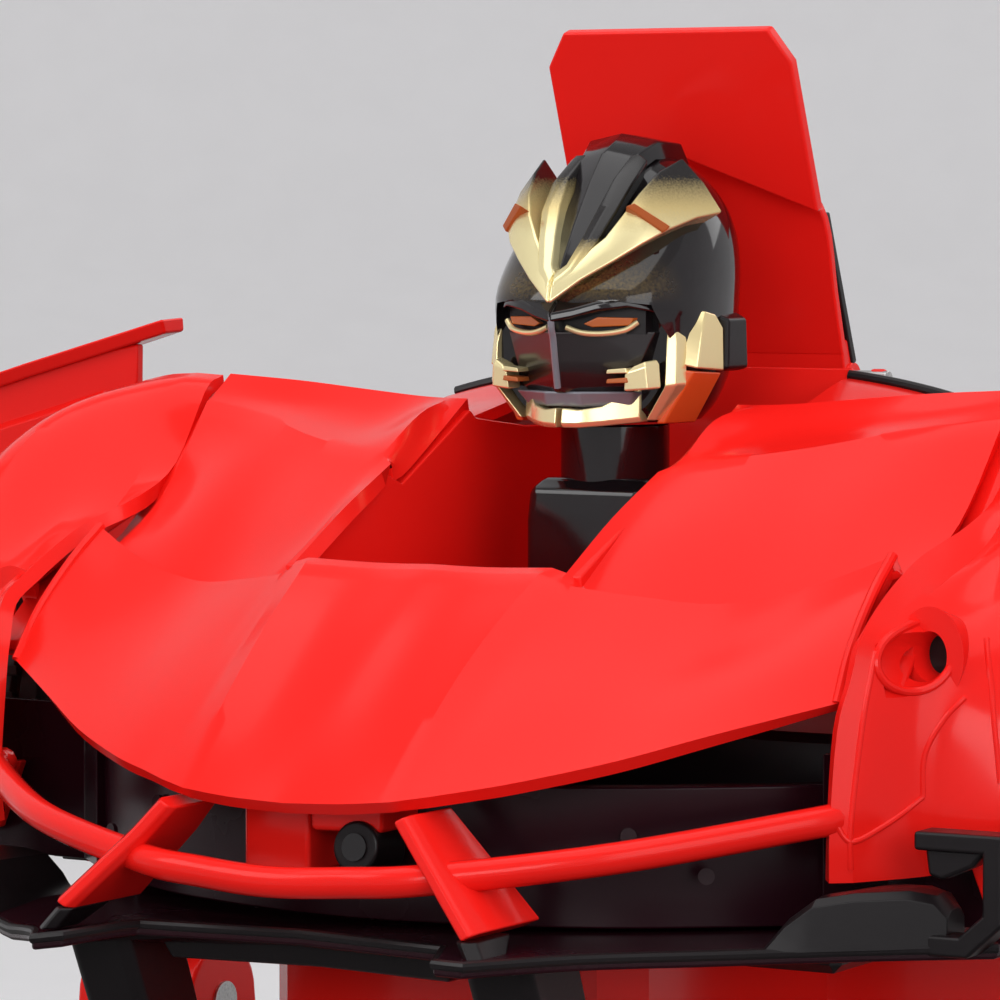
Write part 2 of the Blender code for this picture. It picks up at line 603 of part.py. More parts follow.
def build_arm(side, word, upper, lower, door_body):
    inner, outer = sorted((side * 82, side * 90))
    low_x, high_x = sorted((side * 77, side * 95))
    sleeve = box_mesh("arm_sleeve", (low_x, 22.6, 158), (high_x, 41, 207))
    link = build_link(word + "_upper_arm", upper, "red_shell", inner, outer, SHOULDER_Y,
                      SHOULDER_Z, ELBOW_Z, 9.0, (3.3, 2.8), sleeve)
    pin = rod_mesh("door_pin", (0, 1, 0), (side * DOOR_X, 15.5, DOOR_Z), 2.0, 18)
    combine(link, pin, "UNION")
    span = tuple(sorted((side * 77, side * 95)))
    gap = tuple(sorted((side * 81.5, side * 90.5)))
    outline = [(23.5, 76), (27, 62), (38, 62), (41, 76), (42, 120)]
    outline += arc(SHOULDER_Y, ELBOW_Z, 8.0, 0, 180, 8) + [(21.5, 120)]
    build_fork(word + "_forearm", lower, "red_shell", outline, span, gap, ELBOW_Z - 11,
               (SHOULDER_Y, ELBOW_Z), 2.4)
    panel = [(76, 190), (76, 227.6), (112, 218), (109, 196)]
    door = settle(word + "_door", outline_mesh(word + "_door", [(x * side, z) for x, z in panel],
                                               "Y", 9, 11), door_body, "red_shell")
    rings = [[(x * side, y, z + dz) for y, dz in ((8, -1.3), (8, 0), (15, 0), (15, -1.3))]
             for x, z in ((71, 229.6), (112.5, 218.4))]
    combine(door, loft_mesh("door_flange", rings), "UNION")
    bore(door, (0, 1, 0), (side * DOOR_X, 10, DOOR_Z), 2.0 + GAP, 12)


def build_leg(side, word, thigh, shin):
    inner, outer = sorted((side * 22, side * 40))
    low_x, high_x = sorted((side * 19, side * 45))
    muscle = box_mesh("thigh_armour", (low_x, -7, 84), (high_x, 20.5, 107))
    build_link(word + "_thigh", thigh, "black_frame", inner, outer, HIP_Y, HIP_Z, KNEE_Z,
               11.0, (3.3, 3.3), muscle)
    span = tuple(sorted((side * 17, side * 46)))
    gap = tuple(sorted((side * 21.7, side * 40.3)))
    outline = [(-20, 12), (28, 12), (30, 46)] + arc(HIP_Y, KNEE_Z, 10.5, 0, 180, 8) + [(-18, 48)]
    limb = build_fork(word + "_shin", shin, "red_shell", outline, span, gap, KNEE_Z - 13,
                      (HIP_Y, KNEE_Z), 3.0)
    stub = rod_mesh("wheel_stub", (1, 0, 0), (side * 53, REAR_WHEEL_Y, REAR_WHEEL_Z), 2.2, 20)
    combine(limb, stub, "UNION")
    foot = [(-46, 0), (40, 0), (40, 8), (36, 11.6), (-24, 11.6), (-44, 6)]
    x0, x1 = sorted((side * 15, side * 50))
    prism(word + "_foot", shin, "black_frame", foot, "X", x0, x1, 0.8)


# ---------------------------------------------------------------- wheels

def ring_mesh(name, profile, x, y, z):
    """A turned ring about an axis along X, from a closed profile of (radius, across) points."""
    bm = bmesh.new()
    count = len(profile)
    edges = []
    verts = [bm.verts.new(Vector((r, 0.0, a)) * MM) for r, a in profile]
    for i in range(count):
        edges.append(bm.edges.new((verts[i], verts[(i + 1) % count])))
    bmesh.ops.spin(bm, geom=verts + edges, axis=(0, 0, 1), cent=(0, 0, 0), steps=32,
                   angle=2 * math.pi, use_duplicate=False)
    bmesh.ops.remove_doubles(bm, verts=bm.verts, dist=1e-6)
    turn = Matrix.Rotation(math.pi / 2, 4, "Y")
    bmesh.ops.transform(bm, matrix=Matrix.Translation(world(x, y, z)) @ turn, verts=bm.verts)
    return finish_mesh(name, bm, smooth=True)


def build_wheel(word, body, x, y, z, radius, width, hole):
    half = width / 2
    rim_r = radius * 0.68
    tyre = [(rim_r + GAP, -half + 0.8), (radius - 1.6, -half), (radius, -half + 2.0),
            (radius, half - 2.0), (radius - 1.6, half), (rim_r + GAP, half - 0.8)]
    settle(word + "_tyre", ring_mesh(word + "_tyre", tyre, x, y, z), body, "tyre")
    rim = [(hole, -half + 3), (hole, half - 3), (rim_r - 2, half - 4), (rim_r - 1, half - 1),
           (rim_r, half - 1), (rim_r, -half + 1), (rim_r - 1, -half + 1), (rim_r - 2, -half + 4)]
    settle(word + "_rim", ring_mesh(word + "_rim", rim, x, y, z), body, "rim")


# ---------------------------------------------------------------- assembly

def build_all():
    pelvis = pivot("pelvis")
    pinion = pivot("pinion", pelvis, (0, WAIST_Y, WAIST_Z - GEAR_SPACING))
    chest_body = pivot("chest", pelvis, (0, WAIST_Y, WAIST_Z))
    neck = pivot("neck", chest_body, (0, NECK_Y, NOSE_HEIGHT))
    head = pivot("head", neck, chest(0, NECK_Y, 37))
    roof = pivot("roof", chest_body, (0, ROOF_Y, ROOF_Z))
    switch = pivot("power_switch", chest_body, (-38, 37, 173))
    build_pelvis(pelvis)
    build_waist_drive(chest_body, pinion)
    build_panels(chest_body)
    build_nose(chest_body)
    build_splitter(chest_body)
    build_chassis(chest_body)
    build_cockpit(chest_body)
    build_back(chest_body, switch)
    build_belly(chest_body)
    build_neck(neck)
    build_head(head)
    build_roof(roof)
    for side, word in ((1, "left"), (-1, "right")):
        upper = pivot(word + "_upper_arm", chest_body, (side * 86, SHOULDER_Y, SHOULDER_Z))
        lower = pivot(word + "_forearm", upper, (side * 86, SHOULDER_Y, ELBOW_Z))
        door = pivot(word + "_door", upper, (side * DOOR_X, 10, DOOR_Z))
        build_arm(side, word, upper, lower, door)
        thigh = pivot(word + "_thigh", pelvis, (side * 31, HIP_Y, HIP_Z))
        shin = pivot(word + "_shin", thigh, (side * 31, HIP_Y, KNEE_Z))
        build_leg(side, word, thigh, shin)
        x = side * 62.2
        wheel = pivot(word + "_front_wheel", chest_body, (x, FRONT_WHEEL_Y, FRONT_WHEEL_Z))
        build_wheel(word + "_front", wheel, x, FRONT_WHEEL_Y, FRONT_WHEEL_Z, FRONT_WHEEL_R, 14.5,
                    2.35)
        x = side * 55.5
        wheel = pivot(word + "_rear_wheel", shin, (x, REAR_WHEEL_Y, REAR_WHEEL_Z))
        build_wheel(word + "_rear", wheel, x, REAR_WHEEL_Y, REAR_WHEEL_Z, REAR_WHEEL_R, 17.0,
                    2.55)


build_all()
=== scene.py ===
"""Looks of the transforming robot car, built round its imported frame.

Shapes are drawn in millimetres and for the robot's left side. Chest and head shapes count their
height from the bonnet's tip, limbs and doors from the soles: at() and on_floor() turn them into the
frame's metres, and side is 1 or -1 for the left or the right.
"""
import math

import bmesh
import bpy
import json
from mathutils import Matrix, Vector
from mathutils.bvhtree import BVHTree


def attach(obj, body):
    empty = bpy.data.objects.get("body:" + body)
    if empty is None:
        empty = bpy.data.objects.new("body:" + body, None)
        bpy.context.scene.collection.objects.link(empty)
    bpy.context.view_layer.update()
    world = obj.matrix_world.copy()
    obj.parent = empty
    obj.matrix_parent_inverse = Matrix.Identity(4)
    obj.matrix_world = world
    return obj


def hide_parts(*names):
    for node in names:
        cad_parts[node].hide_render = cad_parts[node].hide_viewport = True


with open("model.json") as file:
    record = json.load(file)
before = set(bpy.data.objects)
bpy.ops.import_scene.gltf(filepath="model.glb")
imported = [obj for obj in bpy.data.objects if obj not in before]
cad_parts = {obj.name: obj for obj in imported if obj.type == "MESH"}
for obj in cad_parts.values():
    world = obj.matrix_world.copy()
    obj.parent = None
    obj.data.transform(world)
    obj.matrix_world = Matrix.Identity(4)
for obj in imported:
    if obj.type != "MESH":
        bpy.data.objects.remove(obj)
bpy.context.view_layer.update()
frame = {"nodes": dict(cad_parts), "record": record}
MM = 0.001                              # metres in a millimetre
JOINTS = {joint["name"]: joint for joint in frame["record"]["behaviour"]["joints"]}
NECK = Vector(JOINTS["head_turn"]["pos_m"])
NOSE = Vector((0.0, NECK.y + 2 * MM, NECK.z - 37 * MM))     # middle of the body, bonnet tip's height
SHELL = 1.7                             # wall of the bonnet and fenders
SIDES = ((1, "left"), (-1, "right"))
BEND = 32.0                             # degrees between faces from which an edge is sharp or rounded


def at(x, y, z):
    """A chest or head point in metres, in the row frame."""
    return NOSE + Vector((x, y, z)) * MM


def on_floor(x, y, z):
    """A point whose height counts from the soles."""
    return Vector((x * MM, NOSE.y + y * MM, z * MM))


# ------------------------------------------------------------------ materials

def new_material(name):
    material = bpy.data.materials.new(name)
    material.use_nodes = True
    nodes = material.node_tree.nodes
    return material, nodes, material.node_tree.links, nodes["Principled BSDF"]


def noise(nodes, links, scale, detail=3.0, where=None):
    texture = nodes.new("ShaderNodeTexNoise")
    texture.inputs["Scale"].default_value = scale
    texture.inputs["Detail"].default_value = detail
    if where is None:
        where = nodes.new("ShaderNodeTexCoord").outputs["Object"]
    links.new(where, texture.inputs["Vector"])
    return texture.outputs["Fac"]


def ramp(nodes, links, source, stops):
    mixer = nodes.new("ShaderNodeValToRGB")
    points = mixer.color_ramp.elements
    while len(points) < len(stops):
        points.new(0.5)
    for point, (place, colour) in zip(points, stops):
        point.position = place
        point.color = (*colour, 1.0)
    links.new(source, mixer.inputs["Fac"])
    return mixer.outputs["Color"]


def spread(nodes, links, source, low, high):
    """Turns a 0 to 1 value into one between low and high."""
    mapper = nodes.new("ShaderNodeMapRange")
    mapper.inputs["To Min"].default_value = low
    mapper.inputs["To Max"].default_value = high
    links.new(source, mapper.inputs["Value"])
    return mapper.outputs["Result"]


def moulded(name, dark, light, rough, coat=0.0, bump=0.02, grain=900.0, metallic=0.0, shine=0.5):
    """Injection-moulded plastic: faint colour drift, uneven gloss and a fine skin."""
    material, nodes, links, shader = new_material(name)
    drift = noise(nodes, links, 22.0, 2.0)
    links.new(ramp(nodes, links, drift, ((0.3, dark), (0.7, light))), shader.inputs["Base Color"])
    patches = noise(nodes, links, 60.0, 4.0)
    links.new(spread(nodes, links, patches, *rough), shader.inputs["Roughness"])
    shader.inputs["Metallic"].default_value = metallic
    shader.inputs["Coat Weight"].default_value = coat
    shader.inputs["Coat Roughness"].default_value = 0.06
    shader.inputs["Specular IOR Level"].default_value = shine
    skin = nodes.new("ShaderNodeBump")
    skin.inputs["Strength"].default_value = bump
    skin.inputs["Distance"].default_value = 0.0002
    links.new(noise(nodes, links, grain, 2.0), skin.inputs["Height"])
    links.new(skin.outputs["Normal"], shader.inputs["Normal"])
    return material


def along_axis(nodes, links, axis, low, high):
    """Runs from 0 to 1 between two heights or depths of chest points."""
    parts = nodes.new("ShaderNodeSeparateXYZ")
    links.new(nodes.new("ShaderNodeTexCoord").outputs["Object"], parts.inputs["Vector"])
    share = nodes.new("ShaderNodeMapRange")
    share.inputs["From Min"].default_value = getattr(at(0, low, low), axis.lower())
    share.inputs["From Max"].default_value = getattr(at(0, high, high), axis.lower())
    links.new(parts.outputs[axis], share.inputs["Value"])
    return share.outputs["Result"]


def reckon(nodes, links, operation, *inputs):
    """A clamped sum or product of sockets and numbers."""
    maths = nodes.new("ShaderNodeMath")
    maths.operation = operation
    maths.use_clamp = operation == "MULTIPLY"
    for socket, value in zip(maths.inputs, inputs):
        if isinstance(value, float):
            socket.default_value = value
        else:
            links.new(value, socket)
    return maths.outputs["Value"]


def airbrushed_gold(name, low, high):
    """Gold paint that fades to the black plastic under it towards the crown."""
    material, nodes, links, shader = new_material(name)
    height = along_axis(nodes, links, "Z", low, high)
    edge = reckon(nodes, links, "MULTIPLY_ADD", noise(nodes, links, 4200.0, 2.0), 0.24, height)
    colour = ramp(nodes, links, edge,
                  ((0.2, (1.0, 0.88, 0.48)), (0.55, (0.70, 0.55, 0.24)), (1.0, (0.010, 0.008, 0.008))))
    links.new(colour, shader.inputs["Base Color"])
    metal = ramp(nodes, links, edge, ((0.3, (0.68, 0.68, 0.68)), (1.0, (0, 0, 0))))
    links.new(metal, shader.inputs["Metallic"])
    rough = spread(nodes, links, noise(nodes, links, 400.0, 2.0), 0.2, 0.27)
    links.new(rough, shader.inputs["Roughness"])
    return material


def brushed_metal(name, colour, rough):
    """Drawn steel with fine lines along its length."""
    material, nodes, links, shader = new_material(name)
    stretch = nodes.new("ShaderNodeMapping")
    stretch.inputs["Scale"].default_value = (0.06, 1.0, 1.0)
    links.new(nodes.new("ShaderNodeTexCoord").outputs["Object"], stretch.inputs["Vector"])
    lines = noise(nodes, links, 3000.0, 2.0, stretch.outputs["Vector"])
    darker = tuple(c * 0.75 for c in colour)
    links.new(ramp(nodes, links, lines, ((0.3, darker), (0.7, colour))), shader.inputs["Base Color"])
    links.new(spread(nodes, links, lines, rough, rough + 0.15), shader.inputs["Roughness"])
    shader.inputs["Metallic"].default_value = 1.0
    return material


def sprayed_black(name, low, high, amount):
    """Glossy black with a thin gold overspray in a band of heights near the brow."""
    material, nodes, links, shader = new_material(name)
    band = ramp(nodes, links, along_axis(nodes, links, "Z", low, high),
                ((0.0, (0, 0, 0)), (0.3, (1, 1, 1)), (0.55, (0.8, 0.8, 0.8)), (1.0, (0, 0, 0))))
    amounts = reckon(nodes, links, "MULTIPLY", band, along_axis(nodes, links, "Y", -8, -15))
    speckle = spread(nodes, links, noise(nodes, links, 3000.0, 3.0), -0.5, 1.6)
    dusty = reckon(nodes, links, "MULTIPLY", amounts, speckle)
    gold = reckon(nodes, links, "MULTIPLY", dusty, amount)
    colour = ramp(nodes, links, gold, ((0.0, (0.008, 0.006, 0.007)), (1.0, (0.62, 0.42, 0.12))))
    links.new(colour, shader.inputs["Base Color"])
    links.new(spread(nodes, links, gold, 0.08, 0.36), shader.inputs["Roughness"])
    links.new(gold, shader.inputs["Metallic"])
    shader.inputs["Specular IOR Level"].default_value = 0.4
    shader.inputs["Coat Weight"].default_value = 0.25
    shader.inputs["Coat Roughness"].default_value = 0.05
    return material


RED = moulded("red_abs", (0.89, 0.012, 0.009), (0.94, 0.017, 0.012), (0.14, 0.22), 0.06, shine=0.16)
BLACK = moulded("black_abs", (0.007, 0.005, 0.006), (0.013, 0.010, 0.011), (0.26, 0.38), 0.0, 0.05,
                shine=0.26)
GLOSS = moulded("gloss_black_abs", (0.005, 0.004, 0.005), (0.010, 0.007, 0.008), (0.08, 0.16), 0.2,
                shine=0.45)
GOLD = moulded("gold_paint", (0.96, 0.80, 0.40), (1.0, 0.88, 0.52), (0.16, 0.26), 0.2, 0.03,
               2500.0, 0.68)
GOLD_FADE = airbrushed_gold("airbrushed_gold", 59.0, 67.0)
GOLD_ROOT = airbrushed_gold("airbrushed_root", 54.6, 59.6)
BRONZE = moulded("orange_paint", (0.42, 0.10, 0.02), (0.52, 0.14, 0.03), (0.3, 0.45))
CHEEK_RED = moulded("cheek_red", (0.72, 0.09, 0.015), (0.85, 0.14, 0.03), (0.25, 0.35), 0.2)
AMBER = moulded("amber_eye", (0.50, 0.10, 0.01), (0.62, 0.15, 0.02), (0.15, 0.25), 0.3)
STEEL = brushed_metal("drawn_steel", (0.62, 0.61, 0.60), 0.22)
RUBBER = moulded("tyre_rubber", (0.014, 0.014, 0.014), (0.024, 0.023, 0.022), (0.62, 0.82), 0.0, 0.3,
                 1400.0)
RIM = moulded("rim_grey", (0.20, 0.20, 0.21), (0.28, 0.28, 0.29), (0.25, 0.35), 0.3, metallic=0.7)
ACETAL = moulded("white_acetal", (0.74, 0.73, 0.68), (0.82, 0.81, 0.76), (0.38, 0.5))
WRAP = moulded("blue_wrap", (0.03, 0.11, 0.28), (0.05, 0.15, 0.36), (0.3, 0.42))
HELMET_BLACK = sprayed_black("sprayed_gloss_black", 51.6, 57.6, 0.22)
MASK_BLACK = moulded("mask_black", (0.010, 0.006, 0.007), (0.016, 0.010, 0.011), (0.18, 0.3), 0.3)
# Black with a maroon tint in its colour: a painted reflection of the red body around it
NOSE_BLACK_PAINTED_RED_REFLECTION = moulded("black_with_painted_red_reflection", (0.014, 0.002, 0.005), (0.024, 0.004, 0.008), (0.2, 0.32), shine=0.18)
# Grey on glossy black parts: a painted reflection on the chin band and a painted highlight along the nose
# ridge
GREY_PAINTED_REFLECTION = moulded("painted_reflection_grey", (0.16, 0.16, 0.19), (0.22, 0.22, 0.25), (0.14, 0.24), 0.4)
SLOT_LOOKS = {"red_shell": RED, "black_frame": BLACK, "gloss_black": GLOSS, "gold_trim": GOLD,
              "amber_lens": AMBER, "steel": STEEL, "gear_white": ACETAL, "tyre": RUBBER, "rim": RIM,
              "battery_wrap": WRAP}


# ------------------------------------------------------------------ mesh helpers

def piece(name, bm, look, body, replaced=(), wall=0.0, edge=0.0, angle=BEND):
    """Makes a finished object of a bmesh, gives it its wall, edges and finish, and its body."""
    if not wall:
        bmesh.ops.recalc_face_normals(bm, faces=bm.faces)
    mesh = bpy.data.meshes.new(name)
    bm.to_mesh(mesh)
    bm.free()
    obj = bpy.data.objects.new(name, mesh)
    bpy.context.scene.collection.objects.link(obj)
    mesh.materials.append(look)
    mesh.shade_smooth()
    mesh.set_sharp_from_angle(angle=math.radians(angle))
    if wall:
        solid = obj.modifiers.new("wall", "SOLIDIFY")
        solid.thickness = wall * MM
        solid.offset = -1.0
        solid.use_even_offset = True
    if edge:
        round_edges(obj, edge, angle)
    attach(obj, body)
    if replaced:
        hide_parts(*replaced)
    return obj


def round_edges(obj, width, angle=BEND):
    bevel = obj.modifiers.new("edges", "BEVEL")
    bevel.width = width * MM
    bevel.segments = 2
    bevel.limit_method = "ANGLE"
    bevel.angle_limit = math.radians(angle)
    bevel.harden_normals = True


def smooth_line(points, steps, corners=()):
    """Points on a smooth line through the given ones; it breaks at each corner's index."""
    points = [Vector(p) for p in points]
    breaks = [0, *sorted(corners), len(points) - 1]
    line = [points[0]]
    for first, last in zip(breaks, breaks[1:]):
        run = points[first:last + 1]
        for i in range(len(run) - 1):
            b, c = run[i], run[i + 1]
            a = run[i - 1] if i else b * 2 - c
            d = run[i + 2] if i + 2 < len(run) else c * 2 - b
            for k in range(1, steps + 1):
                t = k / steps
                line.append(0.5 * (2 * b + (c - a) * t + (2 * a - 5 * b + 4 * c - d) * t * t
                                   + (3 * b - a - 3 * c + d) * t ** 3))
    return line


def smooth_grid(columns, rows_steps, column_steps, row_corners=(), column_corners=()):
    """A fine grid through a coarse one, smooth but for the corner rows and columns."""
    tall = [smooth_line(column, rows_steps, row_corners) for column in columns]
    across = [smooth_line(row, column_steps, column_corners) for row in zip(*tall)]
    return [list(column) for column in zip(*across)]


def add_grid(bm, grid, place=at, side=1):
    """An open sheet through columns of points."""
    verts = [[bm.verts.new(place(p[0] * side, p[1], p[2])) for p in column] for column in grid]
    for left, right in zip(verts, verts[1:]):
        for i in range(len(left) - 1):
            corners = (left[i], right[i], right[i + 1], left[i + 1])
            bm.faces.new(corners if side > 0 else corners[::-1])


def add_loft(bm, rings, place=at, side=1):
    """A closed solid through rings that have the same number of points."""
    loops = [[bm.verts.new(place(p[0] * side, p[1], p[2])) for p in ring] for ring in rings]
    count = len(rings[0])
    for lower, upper in zip(loops, loops[1:]):
        for i in range(count):
            j = (i + 1) % count
            bm.faces.new((lower[i], lower[j], upper[j], upper[i]))
    bm.faces.new(loops[0][::-1])
    bm.faces.new(loops[-1])


def add_prism(bm, outline, axis, low, high, place=at, side=1):
    """An outline drawn in the plane across an axis, extruded from low to high along it."""
    spots = {"X": lambda u, v, w: (w, u, v), "Y": lambda u, v, w: (u, w, v),
             "Z": lambda u, v, w: (u, v, w)}[axis]
    add_loft(bm, [[spots(u, v, w) for u, v in outline] for w in (low, high)], place, side=side)


def add_rod(bm, middle, axis, radius, length, sides=32, tip=None):
    made = bmesh.ops.create_cone(bm, cap_ends=True, segments=sides, radius1=radius * MM,
                                 radius2=(radius if tip is None else tip) * MM, depth=length * MM)
    turn = Vector((0, 0, 1)).rotation_difference(Vector(axis)).to_matrix().to_4x4()
    bmesh.ops.transform(bm, matrix=Matrix.Translation(middle) @ turn, verts=made["verts"])


def prism_piece(name, outline, axis, low, high, look, body, replaced=(), edge=0.4, place=at, side=1):
    mesh = bmesh.new()
    add_prism(mesh, outline, axis, low, high, place, side)
    return piece(name, mesh, look, body, replaced, edge=edge)


def loft_piece(name, rings, look, body, replaced=(), edge=0.3, side=1, place=at, angle=BEND):
    mesh = bmesh.new()
    add_loft(mesh, rings, place, side)
    return piece(name, mesh, look, body, replaced, edge=edge, angle=angle)


def rod_piece(name, middle, axis, radius, length, look, body, replaced=(), edge=0.2, sides=32, tip=None):
    mesh = bmesh.new()
    add_rod(mesh, middle, axis, radius, length, sides, tip)
    return piece(name, mesh, look, body, replaced, edge=edge)


def sheet_piece(name, grid, look, body, replaced, wall=1.3, edge=0.3, place=at, side=1):
    mesh = bmesh.new()
    add_grid(mesh, grid, place, side)
    return piece(name, mesh, look, body, replaced, wall=wall, edge=edge)


def settled(obj):
    """The object's own mesh with its modifiers applied, for more modelling on it."""
    bpy.context.view_layer.update()
    evaluated = obj.evaluated_get(bpy.context.evaluated_depsgraph_get())
    return bpy.data.meshes.new_from_object(evaluated)


def carve(obj, bm, operation="DIFFERENCE"):
    """Applies a Boolean of a bmesh to the object and bakes it in."""
    bmesh.ops.recalc_face_normals(bm, faces=bm.faces)
    mesh = bpy.data.meshes.new("carver")
    bm.to_mesh(mesh)
    bm.free()
    tool = bpy.data.objects.new("carver", mesh)
    bpy.context.scene.collection.objects.link(tool)
    boolean = obj.modifiers.new("carve", "BOOLEAN")
    boolean.operation = operation
    boolean.object = tool
    boolean.solver = "EXACT"
    result = settled(obj)
    obj.modifiers.clear()
    obj.data = result
    bpy.data.objects.remove(tool, do_unlink=True)
    obj.data.shade_smooth()
    obj.data.set_sharp_from_angle(angle=math.radians(BEND))


def drill(obj, middle, axis, radius, length):
    rod = bmesh.new()
    add_rod(rod, middle, axis, radius, length)
    carve(obj, rod)


def tube_piece(name, points, radius, look, body, steps=4):
    """A raised line or cord-thin bead through points given in metres."""
    curve = bpy.data.curves.new(name, "CURVE")
    curve.dimensions = "3D"
    curve.bevel_depth = radius * MM
    curve.bevel_resolution = 3
    curve.use_fill_caps = True
    spline = curve.splines.new("POLY")
    line = smooth_line(points, steps)
    spline.points.add(len(line) - 1)
    for point, place in zip(spline.points, line):
        point.co = (*place, 1.0)
    holder = bpy.data.objects.new(name + "_line", curve)
    bpy.context.scene.collection.objects.link(holder)
    mesh = settled(holder)
    bpy.data.objects.remove(holder, do_unlink=True)
    bm = bmesh.new()
    bm.from_mesh(mesh)
    bmesh.ops.remove_doubles(bm, verts=bm.verts, dist=1e-7)
    return piece(name, bm, look, body)


def screw(name, place, toward, radius, body, replaced=(), look=STEEL):
    """A pan-head cross-recess screw seen from its head."""
    toward = Vector(toward).normalized()
    bm = bmesh.new()
    add_rod(bm, place, toward, radius, 0.5, 24)
    add_rod(bm, place + toward * 0.42 * MM, toward, radius, 0.35, 24, radius * 0.7)
    head = piece(name, bm, look, body, replaced, angle=40)
    side = toward.orthogonal().normalized()
    cut = bmesh.new()
    for axis in (side, side.cross(toward)):
        made = bmesh.ops.create_cube(cut, size=1.0)
        other = axis.cross(toward)
        turn = Matrix((axis * radius * 1.1 * MM, other * 0.32 * radius * MM, toward * 0.6 * MM)).transposed()
        bmesh.ops.transform(cut, matrix=Matrix.Translation(place + toward * 0.6 * MM) @ turn.to_4x4(),
                            verts=made["verts"])
    carve(head, cut)


def limb_block(name, outline, low, high, look, body, replaced, side, cuts=(), edge=0.6):
    """A block drawn in the side view, with round holes (y, z, radius, from x, to x) cut in it."""
    bm = bmesh.new()
    add_prism(bm, outline, "X", low, high, on_floor, side)
    block = piece(name, bm, look, body, replaced)
    for y, z, radius, start, end in cuts:
        hole = bmesh.new()
        add_rod(hole, on_floor(side * (start + end) / 2, y, z), (1, 0, 0), radius, end - start)
        carve(block, hole)
    round_edges(block, edge)
    return block


class Kit:
    """Makes one side's pieces of a body; each of them stands in for the same node of the frame."""

    def __init__(self, side, prefix, body, node=None, place=on_floor):
        self.side = side
        self.prefix = prefix
        self.body = body
        self.node = (node or body,)
        self.place = place

    def name(self, word):
        return f"{self.prefix}_{word}"

    def spot(self, x, y, z):
        return self.place(self.side * x, y, z)

    def block(self, word, outline, low, high, look, edge=0.6, cuts=()):
        return limb_block(self.name(word), outline, low, high, look, self.body, self.node, self.side,
                          cuts, edge)

    def prism(self, word, outline, axis, low, high, look, edge=0.4):
        return prism_piece(self.name(word), outline, axis, low, high, look, self.body, self.node, edge,
                           self.place, self.side)

    def loft(self, word, rings, look, edge=0.3):
        return loft_piece(self.name(word), rings, look, self.body, self.node, edge, self.side, self.place)

    def rod(self, word, middle, axis, radius, length, look, edge=0.2, sides=32, tip=None):
        return rod_piece(self.name(word), self.spot(*middle), axis, radius, length, look, self.body,
                         self.node, edge, sides, tip)

    def screw(self, word, middle, toward, radius):
        screw(self.name(word), self.spot(*middle), toward, radius, self.body, self.node)


def cut_box(obj, low, high, side):
    box = bmesh.new()
    add_prism(box, ((low[1], low[2]), (high[1], low[2]), (high[1], high[2]), (low[1], high[2])), "X",
              low[0], high[0], on_floor, side)
    carve(obj, box)


def round_top(y, z, radius, first=0, last=180, count=14):
    return [(y + radius * math.cos(math.radians(first + (last - first) * i / count)),
             z + radius * math.sin(math.radians(first + (last - first) * i / count)))
            for i in range(count + 1)]


# ------------------------------------------------------------------ bonnet and fenders
# Columns run outward from the middle; each runs from the front edge to the rear one.

HOOD_CENTRE = (
    ((0, -75, 0), (0, -66, 8.7), (0, -56.5, 16.2), (0, -46, 22.8), (0, -44.3, 23.3)),
    ((7, -75, 0.3), (7, -66, 8.6), (7, -56.5, 16), (7, -46, 22.6), (7, -44.3, 23.2)),
    ((12.9, -74.4, 0.8), (13.3, -65.8, 9.3), (14, -56.3, 16.8), (15, -46.7, 22.9), (15.6, -44.8, 23.5)),
    ((16.6, -73, 1.4), (16.8, -64.5, 8.7), (17, -55, 15.8), (17.2, -46.6, 22), (17.4, -44.8, 23)))
HOOD_SIDE = (
    HOOD_CENTRE[3] + ((17.4, -34.5, 28.4), (17.5, -24, 33), (17.6, -21.4, 31.4), (18, -5.6, 39.9)),
    ((20, -71.3, 2), (20, -63, 9), (20, -53.5, 15.6), (20, -45.2, 21.4), (20, -43.4, 20.6),
     (20, -33, 27.4), (19.6, -22.4, 34), (19.4, -14.2, 38.4), (20.4, -5.5, 39.9)),
    ((25, -68.5, 3), (25, -60, 9.4), (25, -51, 15.3), (25, -42.6, 20.6), (25, -40.8, 18.4),
     (25, -31, 27), (25, -20.4, 34.6), (25, -12.6, 36.9), (25, -5.3, 40.1)),
    ((33, -62.5, 5), (33, -54.5, 10.3), (33, -46, 15.3), (33, -38.4, 19.8), (33, -36.6, 17),
     (33, -27, 27), (33, -16.6, 35.8), (33, -10.8, 37.6), (33, -5, 40.8)),
    ((41, -55.2, 7.6), (41, -48.5, 12.6), (41.2, -41.5, 17.2), (41.5, -35, 21.6), (41.8, -33.2, 18.4),
     (42, -23, 28.4), (42, -11.8, 37.6), (42, -8, 39), (42, -4.6, 41.6)),
    ((50.9, -45.9, 10.6), (50.6, -42, 16), (50.2, -36, 21.4), (49.9, -30.4, 25.2), (50.2, -28, 21.6),
     (51.6, -17.5, 28), (52.8, -8.6, 39), (52.8, -6, 40.6), (52.8, -3.6, 42.2)))
